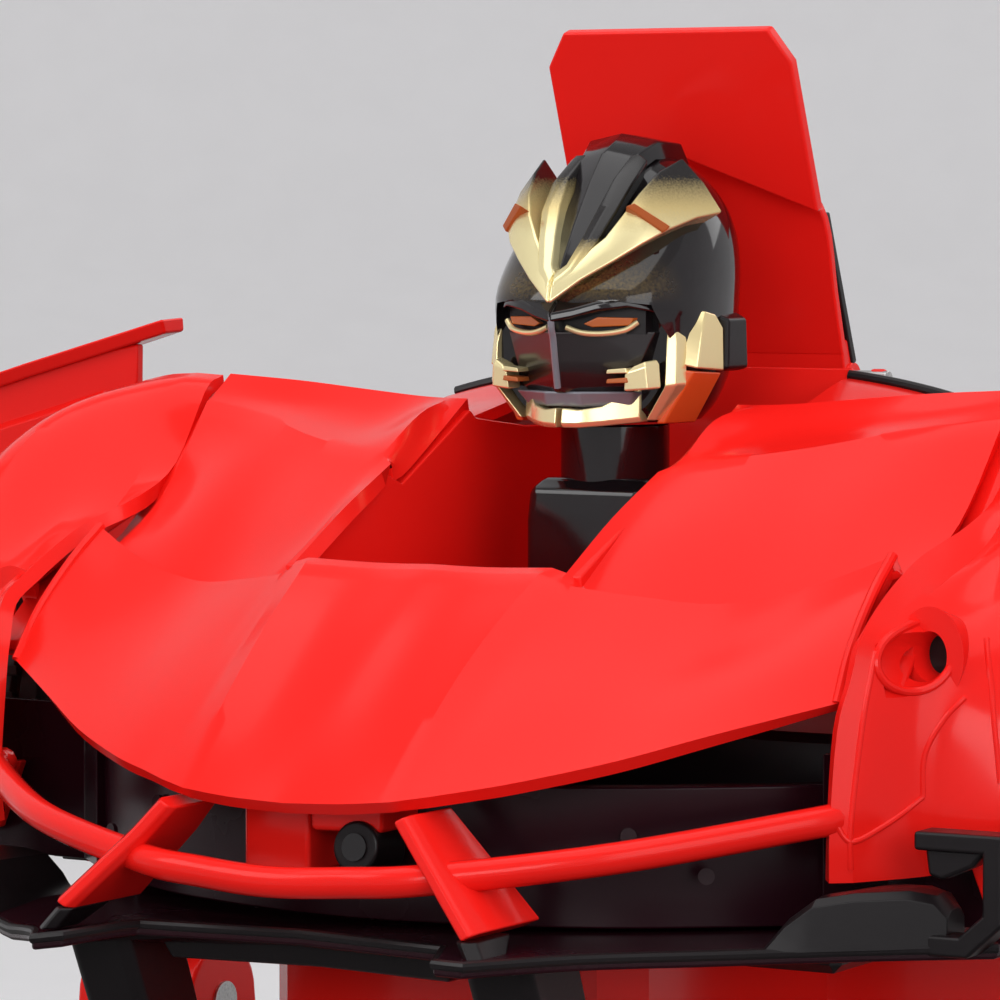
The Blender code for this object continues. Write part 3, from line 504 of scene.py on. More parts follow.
FENDER = (
    ((51.6, -49.6, -8), (51.8, -49.9, -2), (52, -48.6, 8), (52.6, -46.8, 13), (52.9, -44.8, 17.6),
     (52.6, -40, 20.6), (52.5, -34.5, 23.2), (52.6, -28.5, 25.4), (53.4, -19, 28), (54, -12.4, 31.6),
     (54, -7.4, 40.2), (54, -3.4, 42)),
    ((53.6, -48, -8), (53.8, -48.4, -2), (54.2, -46.6, 8), (54.4, -45, 13), (54.6, -43, 17.2),
     (54.8, -39, 19), (55, -34, 20.8), (55.4, -28, 22.9), (56.2, -19.6, 26.4), (57, -12.4, 33.6),
     (57.6, -7.8, 40.8), (57.8, -3.4, 42.2)),
    ((58, -39.7, -8), (58, -41, -2), (58.4, -40.4, 8), (58.6, -39, 13), (59, -36.5, 16.6),
     (59.6, -33, 18.8), (60, -29.2, 21), (60.6, -24.8, 24.6), (61.4, -19, 30.4), (62, -13.6, 36.2),
     (62.4, -8.8, 40.4), (62.6, -3.4, 41.8)),
    ((62, -38.5, -7), (63.5, -39, -2), (65, -37.5, 7), (66, -35.4, 12), (66.6, -33, 16.2),
     (67, -30.8, 19.8), (67.2, -28.2, 24), (67.4, -25, 28.8), (67.6, -21, 33.4), (67.8, -16.2, 37),
     (68, -10.8, 39.2), (68, -3.4, 40.2)),
    ((66, -37.5, -5), (69.5, -37.6, -1), (72, -35.6, 5), (73, -33.6, 9.6), (73.6, -31.6, 13.8),
     (74, -29.8, 17.8), (74, -27.4, 22), (74, -24.4, 26.4), (74, -20.4, 30.6), (74, -16, 33.8),
     (74, -11, 35.6), (73.6, -3.4, 36.4)))
HOOD_BREAKS = (3, 4, 6)
RIDGE_STEPS = 5
SKIN_BEND = 24.0


def laid_line(surface, points, along, lift=0.1, count=7):
    """Points on a surface under a line, found along a direction and lifted a little off it."""
    along = Vector(along).normalized()
    found = []
    for spot in smooth_line(points, count):
        start = at(*spot) - along * 60 * MM
        hit = surface.ray_cast(start, along)[0]
        if hit is not None:
            found.append(hit - along * lift * MM)
    return found


def splay(x, y, z):
    """The right side's nose, which stands a little further out and forward than the left's."""
    k = min(max((-x - 20) / 30, 0), 1.6) * min(max((-y - 8) / 20, 0), 1)
    return at(x - min(3.0 * k, max(x + 75.2, 0)), y - 1.6 * k, z)


def build_bonnet():
    centre = smooth_grid(HOOD_CENTRE, RIDGE_STEPS, 4, (3,), (2,))
    flank = smooth_grid(HOOD_SIDE, RIDGE_STEPS, 4, HOOD_BREAKS, (1,))
    bm = bmesh.new()
    for side in (1, -1):
        add_grid(bm, centre, side=side)
        add_grid(bm, flank, splay, side)
    bmesh.ops.remove_doubles(bm, verts=bm.verts, dist=0.02 * MM)
    hood = piece("bonnet", bm, RED, "chest", ("hood_shell",), wall=SHELL, angle=SKIN_BEND)
    round_edges(hood, 0.45, SKIN_BEND)


def build_fender(side, prefix):
    lip = [splay(side * (x - 0.3), y, z - 0.1) for x, y, z in HOOD_SIDE[5][:4]]
    tube_piece(prefix + "_blade_lip", lip, 0.62, RED, "chest", 5)
    grid = smooth_grid(FENDER, 4, 4, (), (1,))
    bm = bmesh.new()
    add_grid(bm, grid, splay, side)
    tree = BVHTree.FromBMesh(bm)
    fender = piece(prefix + "_fender_shell", bm, RED, "chest", (prefix + "_fender",), wall=SHELL,
                   angle=SKIN_BEND)
    for word, rows, out, drop, corner in (("seam", HOOD_SIDE[5][4:], 3.4, 2.4, (2,)),
                                          ("gutter", HOOD_SIDE[5][1:5], 5.4, 4.6, ())):
        strip = [[(x + across, y, z - drop) for x, y, z in rows] for across in (-1.6, out)]
        sheet_piece(f"{prefix}_{word}", smooth_grid(strip, 4, 1, corner), RED, "chest",
                    (prefix + "_fender",), 1.0, edge=0, place=splay, side=side)
    eye = splay(side * 57.6, -40, 15.2)
    bores = ((-34.4, 5.3, 7, 3.6, "UNION"), (-40.2, 5, 7.6, 2.1, "DIFFERENCE"),
             (-30, 2.1, 20, 2.1, "DIFFERENCE"))
    for y, front, length, rear, operation in bores:
        rod = bmesh.new()
        add_rod(rod, Vector((0, at(0, y, 0).y, eye.z)), (0, 1, 0), front, length, 40, rear)
        squeeze = Matrix.Translation((eye.x, 0, 0)) @ Matrix.Diagonal((0.74, 1, 1, 1))
        bmesh.ops.transform(rod, matrix=squeeze, verts=rod.verts)
        carve(fender, rod, operation)
    round_edges(fender, 0.35, SKIN_BEND)
    rod_piece(prefix + "_headlight_well", Vector((eye.x, at(0, -33.2, 0).y, eye.z)), (0, 1, 0), 2.3, 3,
              BLACK, "chest", (prefix + "_fender",))
    shift = (eye - at(side * 57.6, 0, 15.2)).x / MM
    rim = [(side * (57.2 + 2.8 * math.cos(a)) + shift, -50, 15.4 + 3.7 * math.sin(a))
           for a in [math.radians(10 * i) for i in range(37)]]
    tube_piece(prefix + "_headlight_rim", laid_line(tree, rim, (0, 1, 0), -0.1, 1), 0.5, RED, "chest", 1)
    for k, line in enumerate((
            ((54.2, -50, 16), (53.9, -50, 8), (53.6, -50, 0), (53.4, -50, -6.6)),
            ((52, -50, -1.2), (53.5, -50, -3.6), (55.6, -50, -2.2), (58.2, -50, 0.6)),
            ((58.2, -50, 0.6), (58.3, -50, 5), (59.8, -50, 8.6), (61.6, -50, 11)),
            ((62.4, -50, 17), (64, -50, 12), (65.2, -50, 6), (65.8, -50, 2.2)))):
        spots = [(side * x + shift, y, z) for x, y, z in line]
        tube_piece(f"{prefix}_pod_line_{k}", laid_line(tree, spots, (0, 1, 0), -0.12), 0.34, RED,
                   "chest", 1)


# ------------------------------------------------------------------ nose

def build_nose():
    path = ((0, -77.8, -8), (9, -77, -7.6), (18, -75.2, -6.9), (35, -65.8, -4.6), (50, -50.9, -1.7),
            (51.9, -46.6, -1.3))
    both = [(-x, y, z) for x, y, z in path[:0:-1]] + list(path)
    line = smooth_line(both, 6)
    rings = []
    for i, spot in enumerate(line):
        ahead = (line[min(i + 1, len(line) - 1)] - line[max(i - 1, 0)]).normalized()
        out = ahead.cross(Vector((0, 0, 1))).normalized()
        ring = []
        for k in range(12):
            a = math.radians(30 * k + 15)
            ring.append(spot + out * 1.5 * math.cos(a) + Vector((0, 0, 1.7 * math.sin(a))))
        rings.append(ring)
    loft_piece("nose_bar_moulding", rings, RED, "chest", ("nose_bar",), 0, place=splay, angle=50)
    for side, prefix in SIDES:
        rings = []
        for x, y0, y1, z in ((14.6, -75.6, -66.5, -0.8), (17.6, -76.6, -66, -4.2), (25.2, -79.8, -66, -12)):
            rings.append([(x - 1.1, y0 + 1.0, z - 0.5), (x - 0.5, y0, z - 0.3), (x + 0.5, y0, z + 0.3),
                          (x + 1.1, y0 + 1.2, z + 0.5), (x + 1.1, y1, z + 0.5), (x - 1.1, y1, z - 0.5)])
        loft_piece(prefix + "_fin", rings, RED, "chest", (prefix + "_nose_fin",), side=side)
        rings = [[(x - 1.2, y0 + 1, z), (x, y0, z), (x + 1.2, y0 + 1.2, z), (x + 1.2, y1, z),
                  (x - 1.2, y1, z)] for x, y0, y1, z in ((24.9, -80.3, -72, -12.3),
                                                         (26.6, -81.3, -76, -14.6))]
        loft_piece(prefix + "_fin_tip", rings, BLACK, "chest", (prefix + "_nose_fin",), 0.25, side=side)


# The splitter's left half from above; the first eight points are its front edge.
SPLITTER_HALF = ((0, -71.5), (19, -74), (23, -82.6), (26.6, -83), (34, -72.5), (45, -62.8), (57, -52),
                 (68, -43.5), (68, -40), (52, -37), (0, -37))
# Distance out and rise over the splitter of a blister's rings.
BLISTER = ((48.6, 0.3), (50.6, 3.2), (52.8, 5.2), (56, 5.7), (60.4, 5.8), (62.6, 5.2), (63.8, 3.6))


def sag(x, y, z):
    """The splitter's right side hangs a little lower than its left."""
    return at(x, y, z - min(max(-x - 20, 0) * 0.15, 3.4))


def build_splitter():
    outline = smooth_line([(x, y, 0) for x, y in SPLITTER_HALF[:8]], 4, (1, 2, 3))
    half = [(p.x, p.y) for p in outline] + list(SPLITTER_HALF[8:])
    full = half + [(-x, y) for x, y in half[-2:0:-1]]
    prism_piece("splitter", full, "Z", -15.6, -13.9, NOSE_BLACK_PAINTED_RED_REFLECTION, "chest", ("front_splitter",), 0.35,
                place=sag)
    lip = [(p.x, p.y + 0.35, -14.4) for p in outline]
    both = [(-x, y, z) for x, y, z in lip[:0:-1]] + lip
    tube_piece("splitter_lip", [sag(*p) for p in both], 0.6, BLACK, "chest", 1)
    inner = [(0, -69.4), (18.4, -71.6), (18.6, -68), (18.4, -64), (0, -64)]
    step = inner + [(-x, y) for x, y in inner[-2:0:-1]]
    rings = [[(x, y, -15.2) for x, y in step], [(x * 0.95, y + 1.6, -18.4) for x, y in step]]
    loft_piece("splitter_step", rings, BLACK, "chest", ("front_splitter",), 0.4)
    for side, prefix in SIDES:
        rings = []
        for x, rise in BLISTER:
            y0 = -59.8 + (x - 48.6) * 0.86
            top = -13.9 + rise
            rings.append([(x, y0, -14.4), (x, y0 + 0.2, top - 1.0), (x, y0 + 1.2, top - 0.2),
                          (x, y0 + 3, top), (x, -43, top - 0.3), (x, -42.2, top - 1.2), (x, -42.2, -14.4)])
        loft_piece(prefix + "_blister", rings, BLACK, "chest", (prefix + "_splitter_blister",), 0.4,
                   side=side, place=sag)
        frame_out = [(60.5, -15.1), (66.6, -15.1), (70.6, -11.5), (70.6, -2.1), (60.5, -2.1),
                     (60.5, -4.1), (68.3, -4.1), (68.3, -10.5), (65.6, -12.9), (60.5, -12.9)]
        prism_piece(prefix + "_end_plate", frame_out, "Y", -48, -43.8, BLACK, "chest",
                    ("front_splitter",), 0.4, place=sag, side=side)
        gusset = [(61.4, -3.8), (68.5, -3.8), (67, -5.6), (63.4, -7.2), (61.8, -6.8)]
        prism_piece(prefix + "_end_gusset", gusset, "Y", -47.2, -44.6, BLACK, "chest",
                    ("front_splitter",), 0.5, place=sag, side=side)
        skirt = [(60.4, -2.6), (66.4, -2.6), (66.4, -11.6), (63.6, -10.6)]
        prism_piece(prefix + "_arch_skirt", skirt, "Y", -37.4, -36, RED, "chest", (prefix + "_fender",),
                    0.3, side=side)
        liner = [(46.8, -41.5), (52, -36.4), (71.4, -34.4), (71.4, -33.2), (51.4, -35), (46.4, -40)]
        prism_piece(prefix + "_arch_liner", liner, "Z", -13.8, 4.5, NOSE_BLACK_PAINTED_RED_REFLECTION, "chest",
                    ("grille_backing",), 0.2, side=side)


def build_nose_inside():
    path = [(-49, -38), (-40, -46), (-24, -56), (0, -61), (24, -56), (40, -46), (49, -38)]
    line = smooth_line([(x, y, 0) for x, y in path], 5)
    outline = [(p.x, p.y) for p in line] + [(p.x * 0.97, p.y + 2.4) for p in reversed(line)]
    prism_piece("nose_backing", outline, "Z", -14.0, 1.2, NOSE_BLACK_PAINTED_RED_REFLECTION, "chest", ("grille_backing",), 0.3)
    for k, (x, z) in enumerate(((-38, -8), (-30, -4), (30, -4), (38, -8))):
        y = -61 + abs(x) * 0.31 - 3.2
        screw(f"backing_screw_{k}", at(x, y + 1.2, z), (x * 0.012, -1, 0.1), 0.9, "chest",
              ("grille_backing",), NOSE_BLACK_PAINTED_RED_REFLECTION)
    prism_piece("nose_mount", [(-10.4, -66.4), (-1.5, -67.4), (-1.5, -60), (-10.4, -58)], "Z", -8.6, 0.6,
                RED, "chest", ("grille_backing",), 0.6)
    prism_piece("nose_bracket", [(-0.4, -68.9), (8, -68), (8, -60), (-0.4, -61)], "Z", -3.6, 0.8, RED,
                "chest", ("grille_backing",), 0.6)
    rod_piece("nose_boss", at(5.4, -66.2, -5.4), (0, -1, 0.15), 2.8, 6, BLACK, "chest", ("grille_backing",),
              0.4)
    screw("nose_boss_screw", at(5.4, -69.2, -5), (0, -1, 0.15), 1.5, "chest", ("grille_backing",), GLOSS)


def build_struts():
    for side, prefix in SIDES:
        rings = []
        for y, z, half, deep in ((-68, -15.8, 4.1, 5), (-60, -34, 4, 4.6), (-53.4, -48.4, 3.8, 4.4)):
            rings.append([(25 - half, y - deep, z), (25 - half + 1, y - deep - 0.8, z),
                          (25 + half - 1, y - deep - 0.8, z), (25 + half, y - deep, z),
                          (25 + half, y + deep, z), (25 - half, y + deep, z)])
        loft_piece(prefix + "_strut", rings, BLACK, "chest", (prefix + "_waist_strut",), 0.5, side=side)


# ------------------------------------------------------------------ head

# Height, half width, half depth and middle's depth of the helmet's rings.
HELMET = ((37.8, 9.4, 9.0, -1.0), (40, 11.2, 11.4, -1.4), (44, 12.7, 13.4, -1.5), (48, 13.3, 14.2, -1.5),
          (52, 13.4, 14.7, -1.4), (55.5, 13.2, 13.5, -0.2), (59, 12.4, 11.9, 1.3), (62.5, 10.9, 9.8, 2.3),
          (65.5, 8.6, 7.4, 2.8), (67.8, 5.8, 4.8, 3.0), (69, 2.8, 2.2, 3.0))
HELMET_POINTS = 56
HELMET_POWER = 2.35                     # 2 would be an ellipse


def helmet_ring(z, half, deep, middle):
    """A squarish oval, the helmet's outline seen from above."""
    ring = []
    for i in range(HELMET_POINTS):
        a = 2 * math.pi * i / HELMET_POINTS
        c, s = math.cos(a), math.sin(a)
        reach = (abs(c) ** HELMET_POWER + abs(s) ** HELMET_POWER) ** (-1 / HELMET_POWER)
        ring.append((half * reach * c, middle + deep * reach * s, z))
    return ring


def helmet_rings():
    stations = smooth_line([(z, half, deep) for z, half, deep, middle in HELMET], 3)
    middles = smooth_line([(z, middle, 0) for z, half, deep, middle in HELMET], 3)
    return [helmet_ring(a.x, a.y, a.z, b.y) for a, b in zip(stations, middles)]


def build_helmet():
    helmet = loft_piece("helmet_dome", helmet_rings(), HELMET_BLACK, "head", ("helmet",), 0)
    face = bmesh.new()
    add_prism(face, ((0, 50), (2.4, 50.7), (6.5, 51.9), (10.2, 51.4), (11.6, 47), (10.6, 40), (8.2, 36),
                     (-8.2, 36), (-10.6, 40), (-11.6, 47), (-10.2, 51.4), (-6.5, 51.9), (-2.4, 50.7)),
              "Y", -24, -9.6)
    carve(helmet, face)
    round_edges(helmet, 0.3)


SKULL = Vector((0, -1, 55))             # the heart of the head, which the crest's roots point to


def crest_loft(name, stations, depth, look, side):
    """A raised blade laid between outer and inner edge points, with its root sunk toward the skull."""
    rings = []
    for outer, inner in stations:
        o, i = Vector(outer), Vector(inner)
        ridge = (o + i) / 2 + ((o + i) / 2 - SKULL).normalized() * 0.35
        rings.append([o, ridge, i, i + (SKULL - i).normalized() * depth,
                      o + (SKULL - o).normalized() * depth])
    loft_piece(name, rings, look, "head", ("crest",), side=side)


def build_crest():
    wing = (((0, -18.3, 51.4), (0, -16.6, 55.2)), ((3.4, -16.6, 54.2), (2.3, -15, 56.8)),
            ((6.4, -14, 56.4), (4.6, -12.9, 59.2)), ((8.9, -11.6, 58.4), (6.2, -11.6, 61.8)),
            ((10.8, -8.8, 60), (7.3, -9.8, 64.2)), ((12.5, -5, 61.4), (8.2, -6.6, 66.8)),
            ((13.8, -1.2, 62), (9.2, -2.6, 68.4)))
    band = (((0.4, -17.8, 52.6), (0, -17, 55)), ((2.5, -16.3, 55.2), (0.9, -15.6, 56)),
            ((3.9, -13.6, 58.6), (1.9, -13.2, 59.4)), ((5, -11, 62), (2.6, -10.8, 62.8)),
            ((5.4, -7.8, 65.2), (3, -8, 66)), ((5.2, -3.5, 68), (3, -3.6, 68.8)))
    for side, prefix in SIDES:
        crest_loft(prefix + "_wing", wing, 3.0, GOLD_FADE, side)
        crest_loft(prefix + "_band", band, 2.6, GOLD_ROOT if side > 0 else GOLD_FADE, side)
        slot_line = (((6.9, -12.2, 62.7), (7.9, -12, 63.1)), ((10.5, -9.7, 59.7), (11.2, -9.2, 60.4)))
        rings = []
        for a, b in slot_line:
            a, b = Vector(a), Vector(b)
            inward = (SKULL - a).normalized() * 2.2
            rings.append([a, b, b + inward, a + inward])
        loft_piece(prefix + "_wing_slot", rings, BRONZE, "head", ("crest",), 0.15, side=side)
    ridge = []
    for y, z, half in ((-15.4, 55.6, 0.3), (-13.8, 57.8, 1.5), (-12, 60.4, 2.3), (-10.2, 62.8, 2.5),
                       (-8.2, 65.4, 2.4), (-5.2, 68.8, 3.4), (-0.5, 71.2, 4.6), (5, 70.9, 4.8),
                       (9.6, 67, 4.2), (12, 61.5, 3)):
        top = Vector((0, y, z))
        root = top + (SKULL - top).normalized() * 3.2
        ridge.append([(-half, y + 0.5, z - 0.9), (0, y, z), (half, y + 0.5, z - 0.9),
                      (half, root.y, root.z), (-half, root.y, root.z)])
    loft_piece("crown_ridge", ridge, GLOSS, "head", ("crest",), 0.25)


def build_face():
    rings = []
    for z, nose, half, cheek in ((41.2, -15.2, 6.6, -11), (42, -15.9, 7.2, -11.2), (45, -16.5, 8.4, -10.9),
                                 (47.4, -16.9, 9.4, -10.4), (48.3, -17.1, 9.8, -10.2)):
        rings.append([(-half, cheek, z), (-half * 0.5, (nose + cheek) / 2, z), (-0.35, nose + 0.1, z),
                      (0.35, nose + 0.1, z), (half * 0.5, (nose + cheek) / 2, z), (half, cheek, z),
                      (half, -8, z), (-half, -8, z)])
    loft_piece("mask", rings, MASK_BLACK, "head", ("face_mask",), 0.2)
    # A grey bead along the mask's nose ridge: a painted highlight
    ridge = [at(0, y, z) for y, z in ((-15.8, 41.8), (-16.4, 44.8), (-16.9, 47.6), (-17.3, 48.6),
                                      (-17.4, 50))]
    tube_piece("nose_ridge_painted_highlight", ridge, 0.42, GREY_PAINTED_REFLECTION, "head")
    rings = [[(-9, -11.2, z), (-0.5, -15.2, z), (0.5, -15.2, z), (9, -11.2, z), (9, -8, z),
              (-9, -8, z)] for z in (48, 52.5)]
    loft_piece("eye_backing", rings, BLACK, "head", ("eye_lens",), 0)
    for side, prefix in SIDES:
        lens = [(2.8, -15, 49.2), (3.8, -14.6, 48.8), (7.8, -12.8, 49.0), (8.2, -12.6, 49.9),
                (4.4, -14.4, 50.0)]
        rings = [[(x, y, z) for x, y, z in lens], [(x, y + 1.4, z) for x, y, z in lens]]
        loft_piece(prefix + "_eye", rings, AMBER, "head", ("eye_lens",), 0.15, side=side)
        lid = [at(side * x, y, z) for x, y, z in ((1.2, -16, 48.8), (3, -15.5, 48.2), (5.2, -14.5, 48.1),
                                                  (7.4, -13.3, 48.5), (8.6, -12.4, 49.4))]
        tube_piece(prefix + "_eye_lid", lid, 0.34, GOLD, "head")
        brow = []
        for x, y, z in ((0, -18, 49.9), (2.4, -17, 50.4), (5, -15.8, 51.2), (8, -13.9, 51.6),
                        (10.4, -11, 50.9)):
            brow.append([(x, y, z - 0.5), (x, y + 0.1, z + 0.5), (x, y + 2.2, z + 2.2), (x, y + 3.4, z + 1),
                         (x, y + 3, z - 0.6)])
        loft_piece(prefix + "_brow", brow, HELMET_BLACK, "head", ("helmet",), side=side)
        build_cheek(side, prefix)
    # The chin band is glossy black; its grey colour is a painted reflection
    rings = [[(-6.8, -10.6, 39.6), (-2.4, -14.4, 39.6), (2.4, -14.4, 39.6), (6.8, -10.6, 39.6),
              (6.8, -8, 39.6), (-6.8, -8, 39.6)], [(-7.8, -12, 41.4), (-2.2, -15, 41.4), (2.2, -15, 41.4),
                                                   (7.8, -12, 41.4), (7.8, -8, 41.4), (-7.8, -8, 41.4)]]
    loft_piece("chin_band_painted_reflection", rings, GREY_PAINTED_REFLECTION, "head", ("face_mask",), 0.35)
    for side, prefix in SIDES:
        rings = []
        for x, y, low, high in ((0.35, -15.9, 37.2, 39.5), (2.2, -15.3, 37.2, 39.3), (4.4, -13.7, 37.4, 39.7),
                                (6, -11.9, 37.6, 40.9), (7.6, -10, 37.8, 41.8)):
            rings.append([(x, y + 0.5, low), (x, y, low + 0.5), (x, y + 0.3, high), (x, y + 2.4, high),
                          (x, y + 2.4, low)])
        loft_piece(prefix + "_chin", rings, GOLD, "head", ("chin_guard",), 0.2, side=side)


def build_cheek(side, prefix):
    cheek = Kit(side, prefix, "head", prefix + "_cheek_guard", at)
    rings = [[(12.2, -8.2, 44.4), (13.8, -7.4, 44), (14, -1.2, 43.6), (12.4, -1.2, 43.6)],
             [(12, -7.6, 48), (13.9, -6.4, 48.2), (14.1, -1.6, 48.6), (12.4, -1.2, 48)],
             [(12, -5.8, 50.8), (13.6, -5, 50.6), (13.7, -2.8, 50.2), (12.4, -2.2, 50.2)]]
    cheek.loft("cheek_upper", rings, GOLD, 0.25)
    rings = [[(8.8, -8.4, 37.6), (9.8, -8.2, 37.6), (10.8, -2.2, 37.6), (9.4, -2, 37.6)],
             [(12, -8.1, 43.9), (13.5, -7.5, 43.7), (13.8, -1.4, 43.4), (12.2, -1.2, 43.4)]]
    cheek.loft("cheek_lower", rings, CHEEK_RED, 0.25)
    rings = [[(8.2, -9.8, 38), (9.2, -9.2, 38), (9.6, -6.6, 38), (8, -6.6, 38)],
             [(11.2, -10.8, 42), (12.3, -9.8, 42.2), (12.5, -7.6, 42.2), (10.6, -7.6, 42)],
             [(11.2, -10.4, 46.6), (12.2, -9.4, 47.2), (12.5, -7.6, 47.4), (10.6, -7.6, 46.8)],
             [(11, -9.8, 48.4), (11.8, -9, 48.8), (12.1, -7.6, 48.8), (10.4, -7.6, 48.4)]]
    cheek.loft("cheek_strip", rings, GOLD, 0.25)
    rings = [[(7.6, -14, 41.5), (10.3, -13.1, 41.7), (11, -11, 41.8), (7.6, -11, 41.5)],
             [(7.8, -14.2, 43.6), (10.1, -13.3, 44.4), (10.8, -11, 44.6), (7.8, -11, 43.6)],
             [(8.6, -13.5, 44.4), (9.9, -13, 45), (10.4, -11, 45.2), (8.6, -11, 44.4)]]
    cheek.loft("mouth_box", rings, GOLD, 0.25)
    for k in range(2):
        rings = [[(5.8, -14.9, 42.4 + k * 1.1), (8.2, -14.3, 42.5 + k * 1.1), (8.2, -12, 42.5 + k * 1.1),
                  (5.8, -12, 42.4 + k * 1.1)], [(5.9, -14.9, 42.9 + k * 1.1), (8.1, -14.3, 43.1 + k * 1.1),
                                                (8.1, -12, 43.1 + k * 1.1), (5.9, -12, 42.9 + k * 1.1)]]
        cheek.loft(f"mouth_vent_{k}", rings, GOLD if k else BRONZE, 0.12)
    loft_piece(prefix + "_ear", [[(12.6, -1.4, 43.4), (14.4, -1, 43.8), (14.4, 4.2, 43.8),
                                  (12.6, 4.6, 43.4)],
                                 [(12.6, -1.4, 50.4), (14.4, -0.8, 49.6), (14.4, 3.8, 49.6),
                                  (12.6, 4.2, 50.4)]], BLACK, "head", ("helmet",), 0.4, side=side)


def build_neck():
    rings = []
    levels = ((-2, 8, -10, 6), (26, 8, -10, 6), (29.6, 7.8, -9.6, 5.8), (31, 6.6, -8, 4.8))
    for z, half, front, rear in levels:
        rings.append([(-half + 1, front, z), (half - 1, front, z), (half, front + 1, z), (half, rear - 1, z),
                      (half - 1, rear, z), (-half + 1, rear, z), (-half, rear - 1, z), (-half, front + 1, z)])
    loft_piece("neck_block", rings, GLOSS, "neck", ("neck_post",), 0.6)
    rod_piece("neck_stem", NECK + Vector((0, 0, -3.2 * MM)), (0, 0, 1), 6.4, 7, GLOSS, "neck",
              ("neck_post",), 0.3, sides=48)
    rod_piece("head_collar", NECK + Vector((0, 0, 1.5 * MM)), (0, 0, 1), 9.6, 1.6, HELMET_BLACK, "head",
              ("helmet",), 0.3, sides=48, tip=10.4)


# ------------------------------------------------------------------ cabin, deck and roof panel

def build_tub():
    rim = [(-44.4, 22.6), (-34.6, 27.4), (-24.6, 31.8), (-21.4, 30.6), (-5.8, 38.6), (-4.4, 37.6), (8, 36.2),
           (27.6, 36)]
    for side, prefix in SIDES:
        outline = rim + [(27.6, 6.6), (-43.9, 6.6)]
        prism_piece(prefix + "_tub_wall", outline, "X", 17.45, 19, RED, "chest", ("cockpit_tub",), 0.25,
                    side=side)
    bm = bmesh.new()
    add_prism(bm, ((-17, -43.9), (17, -43.9), (17, -42.4), (-17, -42.4)), "Z", 6.6, 21)
    add_prism(bm, ((-17, 26.2), (17, 26.2), (17, 27.6), (-17, 27.6)), "Z", 6.6, 36)
    piece("tub_ends", bm, RED, "chest", ("cockpit_tub",), edge=0.2)
    floor = ((-17, -42.4), (17, -42.4), (17, 26.2), (-17, 26.2))
    tray = prism_piece("tub_floor", floor, "Z", 6.6, 8, RED, "chest", ("cockpit_tub",), 0)
    hole = bmesh.new()
    add_prism(hole, ((-8.7, -10.7), (8.7, -10.7), (8.7, 6.7), (-8.7, 6.7)), "Z", 0, 12)
    carve(tray, hole)
    for k, x in enumerate((-12.5, 12.5)):
        screw(f"tub_screw_{k}", at(x, -24, 8.2), (0, 0, 1), 2.2, "chest", ("cockpit_tub",))
        rib = ((x - 0.7, -40), (x + 0.7, -40), (x + 0.7, -28), (x - 0.7, -28))
        prism_piece(f"tub_rib_{k}", rib, "Z", 7.8, 11, RED, "chest", ("cockpit_tub",), 0.3)


def arch(x, top):
    """Height of the rear deck's arched crest across the body."""
    return top - 3.4 * (abs(x) / 33.5) ** 2.6


def build_deck():
    xs = (-35, -33, -30, -26, -22, -19.6)
    bm = bmesh.new()
    for side in (1, -1):
        columns = []
        for x in xs:
            lift = 1 - (abs(x) - 19.6) / 15.4 * 0.25
            columns.append(((x, -1.6, 37.6), (x, 8, arch(x, 40.2)), (x, 17, arch(x, 42.6)),
                            (x, 20.4, arch(x, 43)), (x, 26, arch(x, 40) * lift ** 0.3), (x, 34, 37.6)))
        grid = smooth_grid(columns, 4, 3, (3,))
        add_grid(bm, grid, side=side)
    piece("rear_deck_skin", bm, RED, "chest", ("rear_deck",), wall=1.4, edge=0.3)
    grid = smooth_grid([((x, 27.9, 38.2), (x, 30.4, 39.6), (x, 34, 37.8)) for x in (-19.6, 0, 19.6)], 4, 4)
    sheet_piece("rear_deck_bridge", grid, RED, "chest", ("rear_deck",))
    for side, prefix in SIDES:
        crest = [at(side * x, 20.8, arch(x, 43.3)) for x in (19.4, 22, 26, 30, 33, 35)]
        tube_piece(prefix + "_deck_seal", crest, 0.7, BLACK, "chest", 3)
        outline = ((27.2, 36.4), (32.8, 36.4), (32.6, 40.6), (30, 43.2), (27.4, 40.6))
        prism_piece(prefix + "_roof_lug", outline, "X", 17.7, 20, RED, "chest", ("rear_deck",), 0.5,
                    side=side)
    cowl = [((x, 20.9, 43.4), (x, 19.8, 40), (x, 19.4, 36), (x, 19.4, 30)) for x in (-19.8, -9, 0, 9, 19.8)]
    sheet_piece("rear_deck_cowl", smooth_grid([c[::-1] for c in cowl], 4, 3), RED, "chest", ("rear_deck",))
    rod_piece("hinge_pin", at(0, 30, 41.6), (1, 0, 0), 1.2, 40.5, STEEL, "chest", ("roof_hinge_pin",),
              sides=24)


